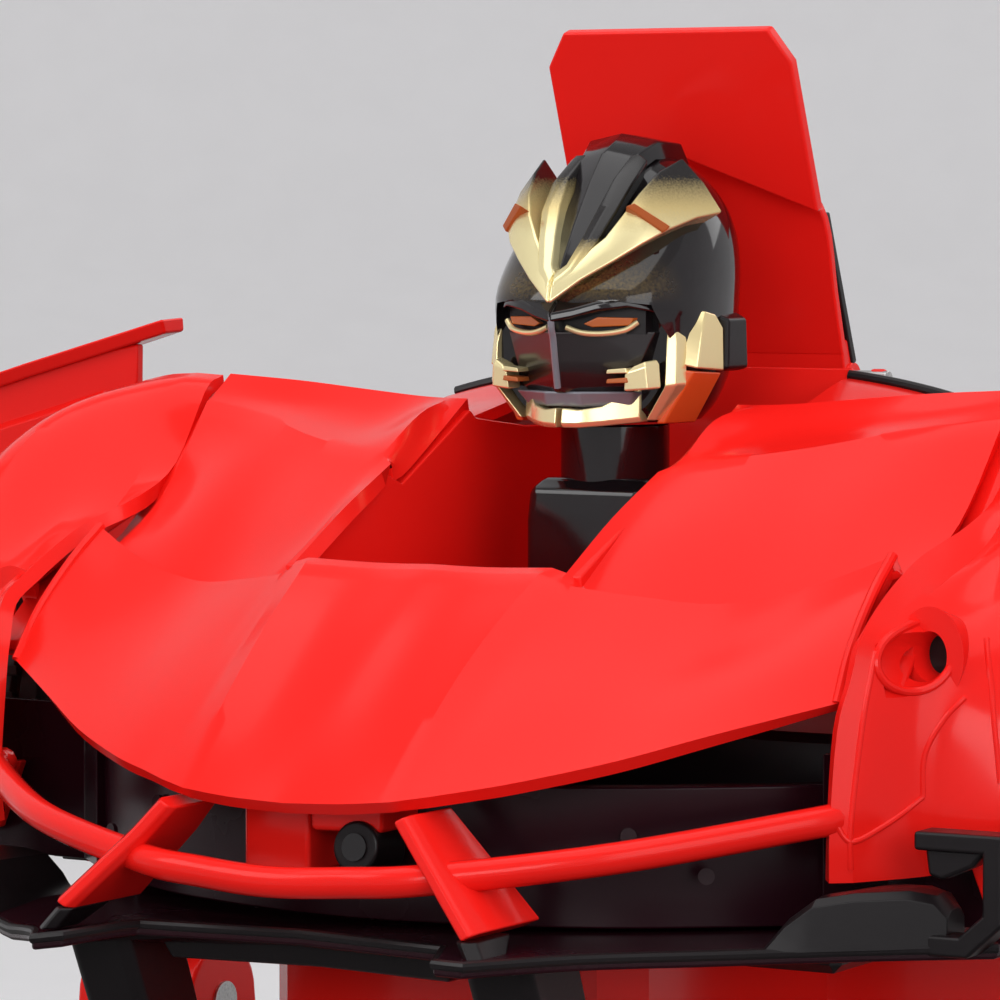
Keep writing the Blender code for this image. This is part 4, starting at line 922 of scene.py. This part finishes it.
def build_roof():
    rows = ((44.6, 15.3, 27.4), (52, 15.4, 24.8), (61, 15.4, 22), (66, 12.6, 20.6), (70, 9, 19.5))
    grid = smooth_grid([[(x * half, y, z) for z, half, y in rows] for x in (-1, -0.5, 0, 0.5, 1)], 4, 2)
    sheet_piece("roof_lower", grid, RED, "roof", ("roof_panel",))
    outline = [(-16.6, 62.4), (0, 68.9), (16.6, 62.4), (16.2, 80), (13.8, 84), (-13.8, 84), (-16.7, 80)]

    def lean(x, z):
        return 19.4 - (z - 62.4) * 0.36 - 0.5 * (1 - (x / 17) ** 2)

    bm = bmesh.new()
    verts = [bm.verts.new(at(x, lean(x, z), z)) for x, z in outline]
    bm.faces.new(verts)
    flap = piece("roof_upper", bm, RED, "roof", ("roof_panel",), wall=1.7)
    for modifier in flap.modifiers:
        modifier.offset = 1.0
    round_edges(flap, 0.35)
    grid = [[(x * half, y + 1.0, z) for z, half, y in ((43.4, 15.6, 28.6),
                                                       (61.6, 15.2, 21.8))] for x in (-1, 0, 1)]
    sheet_piece("roof_lining", grid, BLACK, "roof", ("roof_liner",), 1.2, edge=0.25)
    bm = bmesh.new()
    for x0, x1 in ((-15.6, -8.2), (-7.6, 7.6), (8.2, 15.6)):
        add_rod(bm, at((x0 + x1) / 2, 30, 41.6), (1, 0, 0), 2.2, x1 - x0, 28)
    piece("hinge_barrel", bm, RED, "roof", ("roof_panel",), edge=0.3)
    outline = ((28, 41.6), (31.6, 41.6), (30, 46), (28.4, 46.6), (27.2, 46))
    prism_piece("hinge_web", outline, "X", -15.3, 15.3, RED, "roof", ("roof_panel",), 0.3)
    for k, x in enumerate((-10.5, 0, 10.5)):
        rings = [[(x - 0.6, 29.9, 46), (x + 0.6, 29.9, 46), (x + 0.6, 31.5, 46), (x - 0.6, 31.5, 46)],
                 [(x - 0.6, 24.6, 60.4), (x + 0.6, 24.6, 60.4), (x + 0.6, 26.2, 60.4),
                  (x - 0.6, 26.2, 60.4)]]
        loft_piece(f"lining_rib_{k}", rings, BLACK, "roof", ("roof_liner",), 0.2)


# ------------------------------------------------------------------ doors

def build_door(side, prefix):
    door = Kit(side, prefix, prefix + "_door")
    outline = [(76, 190), (75.4, 227.2), (80, 226.4), (111, 217.8), (109, 196), (100, 190.6)]
    panel = door.prism("door_skin", outline, "Y", 9.4, 11, RED, 0)
    drill(panel, on_floor(side * 86, 10, 200), (0, 1, 0), 2.4, 12)
    round_edges(panel, 0.4)
    rings = [[(70.4, 8.4, 228.6), (70.4, 7.6, 230.4), (70.4, 12.6, 230.6), (70.4, 12.8, 228.8)],
             [(92, 8.4, 222.6), (92, 7.6, 224.4), (92, 14.6, 224.6), (92, 14.8, 222.8)],
             [(112.3, 8.4, 216.6), (112.3, 7.6, 218.4), (112.3, 17.8, 218.6), (112.3, 18, 216.8)]]
    door.loft("door_flange", rings, RED, 0.35)
    inset = [(80, 204), (80, 221.5), (106, 214), (104.6, 201), (98, 197)]
    middle = (sum(p[0] for p in inset) / 5, sum(p[1] for p in inset) / 5)
    inner = [(middle[0] + (x - middle[0]) * 0.93, middle[1] + (z - middle[1]) * 0.9) for x, z in inset]
    rings = [[(x, 9.5, z) for x, z in inset], [(x, 8.7, z) for x, z in inner]]
    door.loft("door_panel", rings, RED, 0.2)
    ring = door.rod("door_washer", (86, 8.9, 200), (0, 1, 0), 4.4, 1.2, BLACK, 0)
    drill(ring, on_floor(side * 86, 9, 200), (0, 1, 0), 2.4, 12)
    round_edges(ring, 0.25)


# ------------------------------------------------------------------ limbs
# Shoulder, elbow, hip and knee are places in the side view, in millimetres above the soles.

SHOULDER = (31.5, 196)
ELBOW = (31.5, 140)
HIP = (8, 112)
KNEE = (8, 66)


def build_arm(side, prefix):
    upper = Kit(side, prefix, prefix + "_upper_arm")
    lower = Kit(side, prefix, prefix + "_forearm")
    capsule = round_top(*SHOULDER, 9) + round_top(*ELBOW, 9, 180, 360)
    upper.block("arm_link", capsule, 82, 90, BLACK,
                cuts=((*SHOULDER, 3.2, 78, 94), (*ELBOW, 2.7, 78, 94)))
    sleeve = [(22.6, 160.5), (24.6, 158), (38.6, 158), (41, 160.5), (41, 203), (37, 207), (26.4, 207),
              (22.6, 203.4)]
    upper.block("arm_sleeve", sleeve, 77, 95, RED, 0.9, ((*SHOULDER, 3.4, 70, 100),))
    for k, z in enumerate((168, 174, 180)):
        slot_ring = [(25.4, z), (36.8, z), (38.4, z + 2.6), (27, z + 2.6)]
        upper.prism(f"arm_vent_{k}", slot_ring, "X", 94.7, 95.6, BLACK, 0.25)
    upper.prism("arm_plate", ((80, 163), (92, 163), (92, 185), (86, 191), (80, 185)), "Y", 21.7, 22.8, RED,
                0.35)
    upper.rod("door_pin", (86, 15.5, 200), (0, 1, 0), 2, 18, STEEL, sides=24)
    cap = upper.rod("shoulder_cap", (95.2, *SHOULDER), (side, 0, 0), 6.4, 1.6, BLACK, 0, sides=40, tip=5.8)
    drill(cap, on_floor(side * 95, *SHOULDER), (1, 0, 0), 3.3, 8)
    round_edges(cap, 0.25)
    outline = [(23.5, 78), (27, 64), (29, 62), (36.4, 62), (38, 64), (41, 78), (42, 120)]
    outline += round_top(*ELBOW, 8) + [(21.5, 120)]
    arm = lower.block("forearm_shell", outline, 77, 95, RED, 0)
    cut_box(arm, (81.5, 0, 129), (90.5, 60, 160), side)
    round_edges(arm, 0.7)
    lower.rod("elbow_pin", (86, *ELBOW), (1, 0, 0), 2.4, 17, STEEL, sides=24)
    for x in (95.1, 76.9):
        way = side if x > 90 else -side
        lower.screw(f"elbow_screw_{int(x)}", (x, *ELBOW), (way, 0, 0), 2.6)
    panel = [(25.4, 84), (28.4, 71), (34.8, 71), (37.6, 84), (38.6, 117), (35, 124), (28, 124), (24.6, 117)]
    lower.block("forearm_panel", panel, 94.6, 95.9, RED, 0.4)
    for k, z in enumerate((88, 94, 100)):
        lower.block(f"forearm_vent_{k}", [(27, z), (35.6, z), (36.4, z + 2.4), (27.8, z + 2.4)], 95.7, 96.5,
                    BLACK, 0.2)
    outline = ((79.4, 80), (92.6, 80), (92.6, 112), (89, 118), (83, 118), (79.4, 112))
    lower.prism("forearm_guard", outline, "Y", 20.9, 22.6, BLACK)
    build_hand(lower)


def build_hand(arm):
    palm = [(26.4, 60.4), (26.4, 63.6), (37, 63.6), (37, 60.4), (35.6, 54), (27.6, 54)]
    arm.block("palm", palm, 79.4, 92.6, BLACK, 0.8)
    for k, x in enumerate((80, 83.4, 86.8, 90.2)):
        finger = [(27.4, 54.4), (33.6, 54.4), (33.8, 48.6), (31.6, 45.6), (28, 46), (27.2, 49)]
        arm.block(f"finger_{k}", finger, x, x + 2.6, BLACK, 0.7)
    thumb = [(24.6, 59), (28, 60), (28.4, 53.6), (25.6, 50.6), (23.8, 52)]
    arm.block("thumb", thumb, 84, 87.4, BLACK, 0.7)


def build_leg(side, prefix):
    thigh = Kit(side, prefix, prefix + "_thigh")
    shin = Kit(side, prefix, prefix + "_shin")
    capsule = round_top(*HIP, 11) + round_top(*KNEE, 11, 180, 360)
    thigh.block("thigh_link", capsule, 22, 40, BLACK, 0.8, ((*HIP, 3.2, 15, 48), (*KNEE, 3.2, 15, 48)))
    armour = [(-7, 86.4), (-4.6, 84), (18, 84), (20.5, 86.4), (20.5, 105), (18.6, 107), (-4.4, 107),
              (-7, 104.6)]
    thigh.block("thigh_armour", armour, 19, 45, BLACK, 1.0)
    outline = ((23, 87), (41, 87), (43, 91), (43, 103), (21, 103), (21, 91))
    thigh.prism("thigh_plate", outline, "Y", -8.2, -6.8, RED)
    for k, z in enumerate((90.4, 94.4, 98.4)):
        thigh.block(f"thigh_vent_{k}", [(-2, z), (15, z), (15, z + 2), (-2, z + 2)], 44.7, 45.7, GLOSS,
                    0.25)
    outline = [(-20, 12), (28, 12), (30, 46)] + round_top(*KNEE, 10.5, 0, 180) + [(-18, 48)]
    leg = shin.block("shin_shell", outline, 17, 46, RED, 0)
    cut_box(leg, (21.7, -40, 53), (40.3, 50, 90), side)
    round_edges(leg, 0.9)
    shin.rod("knee_pin", (31.5, *KNEE), (1, 0, 0), 3, 28, STEEL, sides=28)
    for x in (46.1, 16.9):
        way = side if x > 30 else -side
        shin.screw(f"knee_screw_{int(x)}", (x, *KNEE), (way, 0, 0), 3.2)
    rings = [[(20.5, -19.4, 16), (42.5, -19.4, 16), (44, -17.6, 16), (19, -17.6, 16)],
             [(19.5, -22.4, 28), (43.5, -22.4, 28), (45, -18, 28), (18, -18, 28)],
             [(20.5, -22.2, 44), (42.5, -22.2, 44), (45, -17, 44), (18, -17, 44)],
             [(24, -17.6, 56), (39, -17.6, 56), (41, -12, 56), (22, -12, 56)]]
    shin.loft("shin_guard", rings, RED, 0.6)
    for k, z in enumerate((32, 36, 40)):
        shin.prism(f"shin_vent_{k}", ((25, z), (38, z), (36.6, z + 2), (26.4, z + 2)), "Y", -23.2, -22,
                   BLACK, 0.25)
    shin.prism("tail_lamp", ((21, 36), (42, 36), (44, 40), (44, 44), (19, 44), (19, 40)), "Y", 28.6, 30.6,
               BLACK)
    shin.prism("tail_lens", ((23, 38), (40, 38), (42, 41.6), (21, 41.6)), "Y", 30.2, 31.3, CHEEK_RED, 0.3)
    shin.block("calf_panel", [(-15, 17), (23, 17), (25, 44), (14, 50), (-13, 46)], 16, 17.3, RED, 0.4)
    shin.rod("wheel_stub", (54.6, 22, 34), (1, 0, 0), 2.2, 17, STEEL, sides=24)
    build_foot(Kit(side, prefix, prefix + "_shin", prefix + "_foot"))


def build_foot(foot):
    sole = [(-46, 0), (40, 0), (40, 4), (-45.4, 4)]
    foot.block("sole", sole, 15, 50, BLACK, 0.7)
    for k, y in enumerate(range(-40, 38, 13)):
        foot.prism(f"sole_rib_{k}", ((17, y), (48, y), (48, y + 8), (17, y + 8)), "Z", 3.6, 4.6, BLACK,
                   0.25)
    upper = [(-43.4, 4), (38.4, 4), (38.4, 8), (34.6, 11.6), (-24, 11.6), (-41, 7.4)]
    foot.block("foot_body", upper, 16.4, 48.6, BLACK, 1.0)
    rings = [[(19, -43.4, 5), (46, -43.4, 5), (46, -41.4, 8), (19, -41.4, 8)],
             [(21, -31, 9.6), (44, -31, 9.6), (44, -30.4, 11.4), (21, -30.4, 11.4)],
             [(22, -22.4, 11.2), (43, -22.4, 11.2), (43, -22.4, 13.6), (22, -22.4, 13.6)]]
    foot.loft("toe_cap", rings, RED, 0.5)
    rings = [[(20, 31, 11), (45, 31, 11), (45, 36.4, 10), (20, 36.4, 10)],
             [(22, 30.4, 17), (43, 30.4, 17), (43, 32, 17), (22, 32, 17)]]
    foot.loft("heel_cap", rings, RED, 0.5)


# ------------------------------------------------------------------ wheels

def add_turned(bm, profile, centre, steps=64):
    """A closed ring turned about an axis along X from (radius, across) points."""
    rings = []
    for i in range(steps):
        a = 2 * math.pi * i / steps
        rings.append([bm.verts.new(centre + Vector((across, radius * math.cos(a), radius * math.sin(a))) * MM)
                      for radius, across in profile])
    count = len(profile)
    for i in range(steps):
        here, there = rings[i], rings[(i + 1) % steps]
        for k in range(count):
            m = (k + 1) % count
            bm.faces.new((here[k], here[m], there[m], there[k]))


TREAD_BLOCKS = 36
SPOKE_PAIRS = 10


def build_wheel(side, word, centre, radius, width, axle):
    body = word + "_wheel"
    tyre_node = word + "_tyre"
    rim_node = word + "_rim"
    half = width / 2
    rim = radius * 0.68
    bm = bmesh.new()
    profile = [(rim + 0.3, -half + 0.8), (radius - 3.4, -half + 0.1), (radius - 1.9, -half),
               (radius - 0.7, -half + 1.2), (radius - 0.5, -half + 2.6), (radius - 1.3, -half + 3),
               (radius - 1.3, -half + 3.6), (radius - 0.5, -half + 4), (radius - 0.5, -0.8),
               (radius - 1.3, -0.5)]
    add_turned(bm, profile + [(out, -x) for out, x in reversed(profile)], centre)
    piece(word + "_carcass", bm, RUBBER, body, (tyre_node,), edge=0.15, angle=40)
    bm = bmesh.new()
    for i in range(TREAD_BLOCKS):
        for row, shift in ((-half * 0.72, 0.0), (half * 0.72, 0.5)):
            a = 2 * math.pi * (i + shift) / TREAD_BLOCKS
            across, out = Vector((1, 0, 0)), Vector((0, math.cos(a), math.sin(a)))
            along = across.cross(out)
            spot = centre + Vector((row, 0, 0)) * MM + out * (radius - 0.45) * MM
            made = bmesh.ops.create_cube(bm, size=1.0)["verts"]
            skew = along * 1.15 + across * 0.35
            turn = Matrix((across * width * 0.2 * MM, skew * MM, out * 0.9 * MM)).transposed().to_4x4()
            bmesh.ops.transform(bm, matrix=Matrix.Translation(spot) @ turn, verts=made)
    piece(word + "_tread", bm, RUBBER, body, (tyre_node,), edge=0.12)
    bm = bmesh.new()
    face = half - 1.4
    barrel = [(rim - 1.4, -half + 1.2), (rim, -half + 1), (rim, half - 1), (rim - 1.4, half - 1.2)]
    add_turned(bm, barrel, centre)
    piece(word + "_barrel", bm, RIM, body, (rim_node,), edge=0.25)
    bm = bmesh.new()
    hub = [(axle, side * (face - 9)), (axle, side * face), (4.6, side * face), (5.4, side * (face - 1.2)),
           (5.4, side * (face - 9))]
    add_turned(bm, hub, centre, 48)
    across = Vector((1, 0, 0))
    for i in range(SPOKE_PAIRS):
        a = 2 * math.pi * i / SPOKE_PAIRS
        for lean in (-0.16, 0.16):
            inner = Vector((0, math.cos(a), math.sin(a)))
            outer = Vector((0, math.cos(a + lean), math.sin(a + lean)))
            side_in = across.cross(inner) * 0.75
            side_out = across.cross(outer) * 0.55
            rings = []
            for reach, half_width, drop, thick in ((5, side_in, 1.0, 2.6), (rim - 3, side_out, 1.6, 2.2),
                                                  (rim - 0.7, side_out * 1.5, 0.9, 2.4)):
                spoke = inner if half_width is side_in else outer
                base = centre + spoke * reach * MM
                near, far = side * (face - drop), side * (face - drop - thick)
                rings.append([base + (half_width + across * near) * MM,
                              base + (-half_width + across * near) * MM,
                              base + (-half_width + across * far) * MM,
                              base + (half_width + across * far) * MM])
            add_loft(bm, rings, lambda x, y, z: Vector((x, y, z)))
    piece(word + "_spokes", bm, RIM, body, (rim_node,), edge=0.2)
    bm = bmesh.new()
    disc = [(rim - 1.6, side * (face - 6.4)), (rim - 1.6, side * (face - 5.6)), (5, side * (face - 5.6)),
            (5, side * (face - 6.4))]
    add_turned(bm, disc, centre, 48)
    piece(word + "_disc", bm, BLACK, body, (rim_node,), edge=0.1)


def build_wheels(side, prefix):
    wheels = (("front", on_floor(side * 62.2, -13, 183), 18.5, 14.5, 2.35),
              ("rear", on_floor(side * 55.5, 22, 34), 21.0, 17.0, 2.55))
    for word, centre, radius, width, axle in wheels:
        build_wheel(side, f"{prefix}_{word}", centre, radius, width, axle)
    for word, centre, radius, width, axle in wheels:
        hub_face = centre + Vector((side * (width / 2 - 1.2) * MM, 0, 0))
        screw(f"{prefix}_{word}_hub_screw", hub_face, (side, 0, 0), 2.2, f"{prefix}_{word}_wheel",
              (f"{prefix}_{word}_rim",))


# ------------------------------------------------------------------ back and belly

def build_back():
    node = ("battery_cover",)
    prism_piece("cover_plate", ((-29, 167), (29, 167), (29, 213), (-29, 213)), "Y", 46.7, 48.2, BLACK,
                "chest", node, 0.5, place=on_floor)
    for k in range(7):
        z = 175 + k * 4.2
        half = 22 - abs(k - 3) * 1.2
        outline = ((-half, z), (half, z), (half - 1, z + 1.6), (1 - half, z + 1.6))
        prism_piece(f"cover_rib_{k}", outline, "Y", 48, 49, BLACK, "chest", node, 0.3, place=on_floor)
    prism_piece("cover_latch", ((-7, 205.4), (7, 205.4), (5, 211.4), (-5, 211.4)), "Y", 48, 49.4, GLOSS,
                "chest", node, place=on_floor)
    for k, (x, z) in enumerate(((-25.6, 170.6), (25.6, 170.6), (-25.6, 209.4), (25.6, 209.4))):
        screw(f"cover_screw_{k}", on_floor(x, 48.3, z), (0, 1, 0), 1.9, "chest", node)
    for side, word in SIDES:
        screw(word + "_housing_screw", on_floor(side * 32.6, 36.2, 167.4), (0, 1, 0), 1.8, "chest")
        foot = 174 if side > 0 else 180
        outline = ((31.4, foot), (44, foot), (44, 187), (31.4, 187))
        prism_piece(word + "_back_pad", outline, "Y", 35.4, 37, RED, "chest", edge=0.5, place=on_floor,
                    side=side)


def build_belly():
    for k, z in enumerate((133, 138, 143)):
        for side, word in SIDES:
            prism_piece(f"{word}_belly_vent_{k}", ((-30, z), (-4, z + 1.5), (-4, z + 3.2), (-30, z + 1.7)),
                        "X", 23.6, 24.5, BLACK, "chest", edge=0.3, place=on_floor, side=side)
    for side, word in SIDES:
        screw(word + "_belly_screw", on_floor(side * 38, 8.5, 133), (side * 0.19, -1, 0), 2.2, "chest")


def build_pelvis():
    for side, word in SIDES:
        screw(word + "_pelvis_screw", on_floor(side * 11, -4.9, 106), (0, -1, 0), 2, "pelvis")
    outline = ((-8, 110), (8, 110), (10.5, 116), (8, 121), (-8, 121), (-10.5, 116))
    prism_piece("pelvis_plate", outline, "Y", -6.3, -4.8, RED, "pelvis", edge=0.5, place=on_floor)
    outline = ((-6.4, 112.4), (6.4, 112.4), (8, 116), (6.4, 119), (-6.4, 119), (-8, 116))
    prism_piece("pelvis_inset", outline, "Y", -7, -6, BLACK, "pelvis", edge=0.3, place=on_floor)


# ------------------------------------------------------------------ frame's own nodes

def dress_frame():
    """Gives every node of the frame the finish its material slot names."""
    for node in frame["nodes"].values():
        look = SLOT_LOOKS[node.data.materials[0].name]
        node.data.materials.clear()
        node.data.materials.append(look)


# ------------------------------------------------------------------ studio

def set_camera():
    data = bpy.data.cameras.new("camera")
    data.lens = 180.0
    data.sensor_width = 36.0
    data.clip_start = 0.01
    camera = bpy.data.objects.new("camera", data)
    bpy.context.scene.collection.objects.link(camera)
    turn, rise = math.radians(30.0), math.radians(3.43)
    back = Vector((math.sin(turn) * math.cos(rise), -math.cos(turn) * math.cos(rise), math.sin(rise)))
    target = at(4.44, -36.78, 30.12)
    camera.location = target + back * 0.5556
    camera.rotation_euler = back.to_track_quat("Z", "Y").to_euler()
    bpy.context.scene.camera = camera


def make_floor():
    """A pale studio bowl: level under the robot and curving up to a wall all round."""
    bm = bmesh.new()
    radii = (0.0, 0.9, 1.8, 2.6, 3.0, 3.3, 3.5, 3.6, 3.65, 3.65)
    heights = (0.0, 0.0, 0.0, 0.0, 0.06, 0.2, 0.45, 0.8, 1.3, 4.2)
    sides = 96
    rings = [[bm.verts.new((r * math.cos(2 * math.pi * i / sides), r * math.sin(2 * math.pi * i / sides),
                            z)) for i in range(sides)] for r, z in zip(radii[1:], heights[1:])]
    bm.faces.new(rings[0])
    for inner, outer in zip(rings, rings[1:]):
        for i in range(sides):
            j = (i + 1) % sides
            bm.faces.new((inner[i], inner[j], outer[j], outer[i]))
    mesh = bpy.data.meshes.new("studio_floor")
    bm.to_mesh(mesh)
    bm.free()
    mesh.shade_smooth()
    floor = bpy.data.objects.new("studio_floor", mesh)
    bpy.context.scene.collection.objects.link(floor)
    pale = moulded("pale_backdrop", (0.78, 0.78, 0.79), (0.80, 0.80, 0.81), (0.85, 0.9), bump=0.0)
    glow = pale.node_tree.nodes["Principled BSDF"].inputs
    glow["Emission Color"].default_value = (0.98, 0.96, 0.96, 1.0)
    glow["Emission Strength"].default_value = 0.16
    mesh.materials.append(pale)


def softbox(name, place, toward, width, height, power):
    """An area light that faces a point and that the camera doesn't see."""
    data = bpy.data.lights.new(name, "AREA")
    data.shape = "RECTANGLE"
    data.size = width
    data.size_y = height
    data.energy = power
    light = bpy.data.objects.new(name, data)
    bpy.context.scene.collection.objects.link(light)
    light.location = place
    light.rotation_euler = (Vector(place) - Vector(toward)).to_track_quat("Z", "Y").to_euler()
    light.visible_camera = False


def light_studio():
    middle = at(0, -30, 30)
    softbox("ceiling", middle + Vector((0.0, -0.1, 0.75)), middle, 0.9, 0.7, 2.6)
    softbox("key", middle + Vector((-0.5, -0.55, 0.5)), middle, 0.4, 0.4, 1.5)
    softbox("fill", middle + Vector((0.75, -0.5, 0.25)), middle, 0.5, 0.6, 1.9)
    softbox("front", middle + Vector((0.35, -1.1, 0.3)), middle, 0.5, 0.35, 2.7)
    softbox("rear", middle + Vector((0.2, 0.8, 0.5)), middle, 0.7, 0.4, 1.3)
    world = bpy.data.worlds.new("studio")
    world.use_nodes = True
    background = world.node_tree.nodes["Background"]
    background.inputs["Color"].default_value = (0.92, 0.91, 0.92, 1.0)
    background.inputs["Strength"].default_value = 0.46
    bpy.context.scene.world = world
    bpy.context.scene.view_settings.view_transform = "Standard"


def note_sizes():
    bpy.context.view_layer.update()


dress_frame()
build_bonnet()
for which, prefix in SIDES:
    build_fender(which, prefix)
build_nose()
build_splitter()
build_nose_inside()
build_struts()
build_helmet()
build_crest()
build_face()
build_neck()
build_tub()
build_deck()
build_roof()
for build in (build_door, build_arm, build_leg, build_wheels):
    for which, prefix in SIDES:
        build(which, prefix)
build_back()
build_belly()
build_pelvis()
set_camera()
make_floor()
light_studio()
note_sizes()
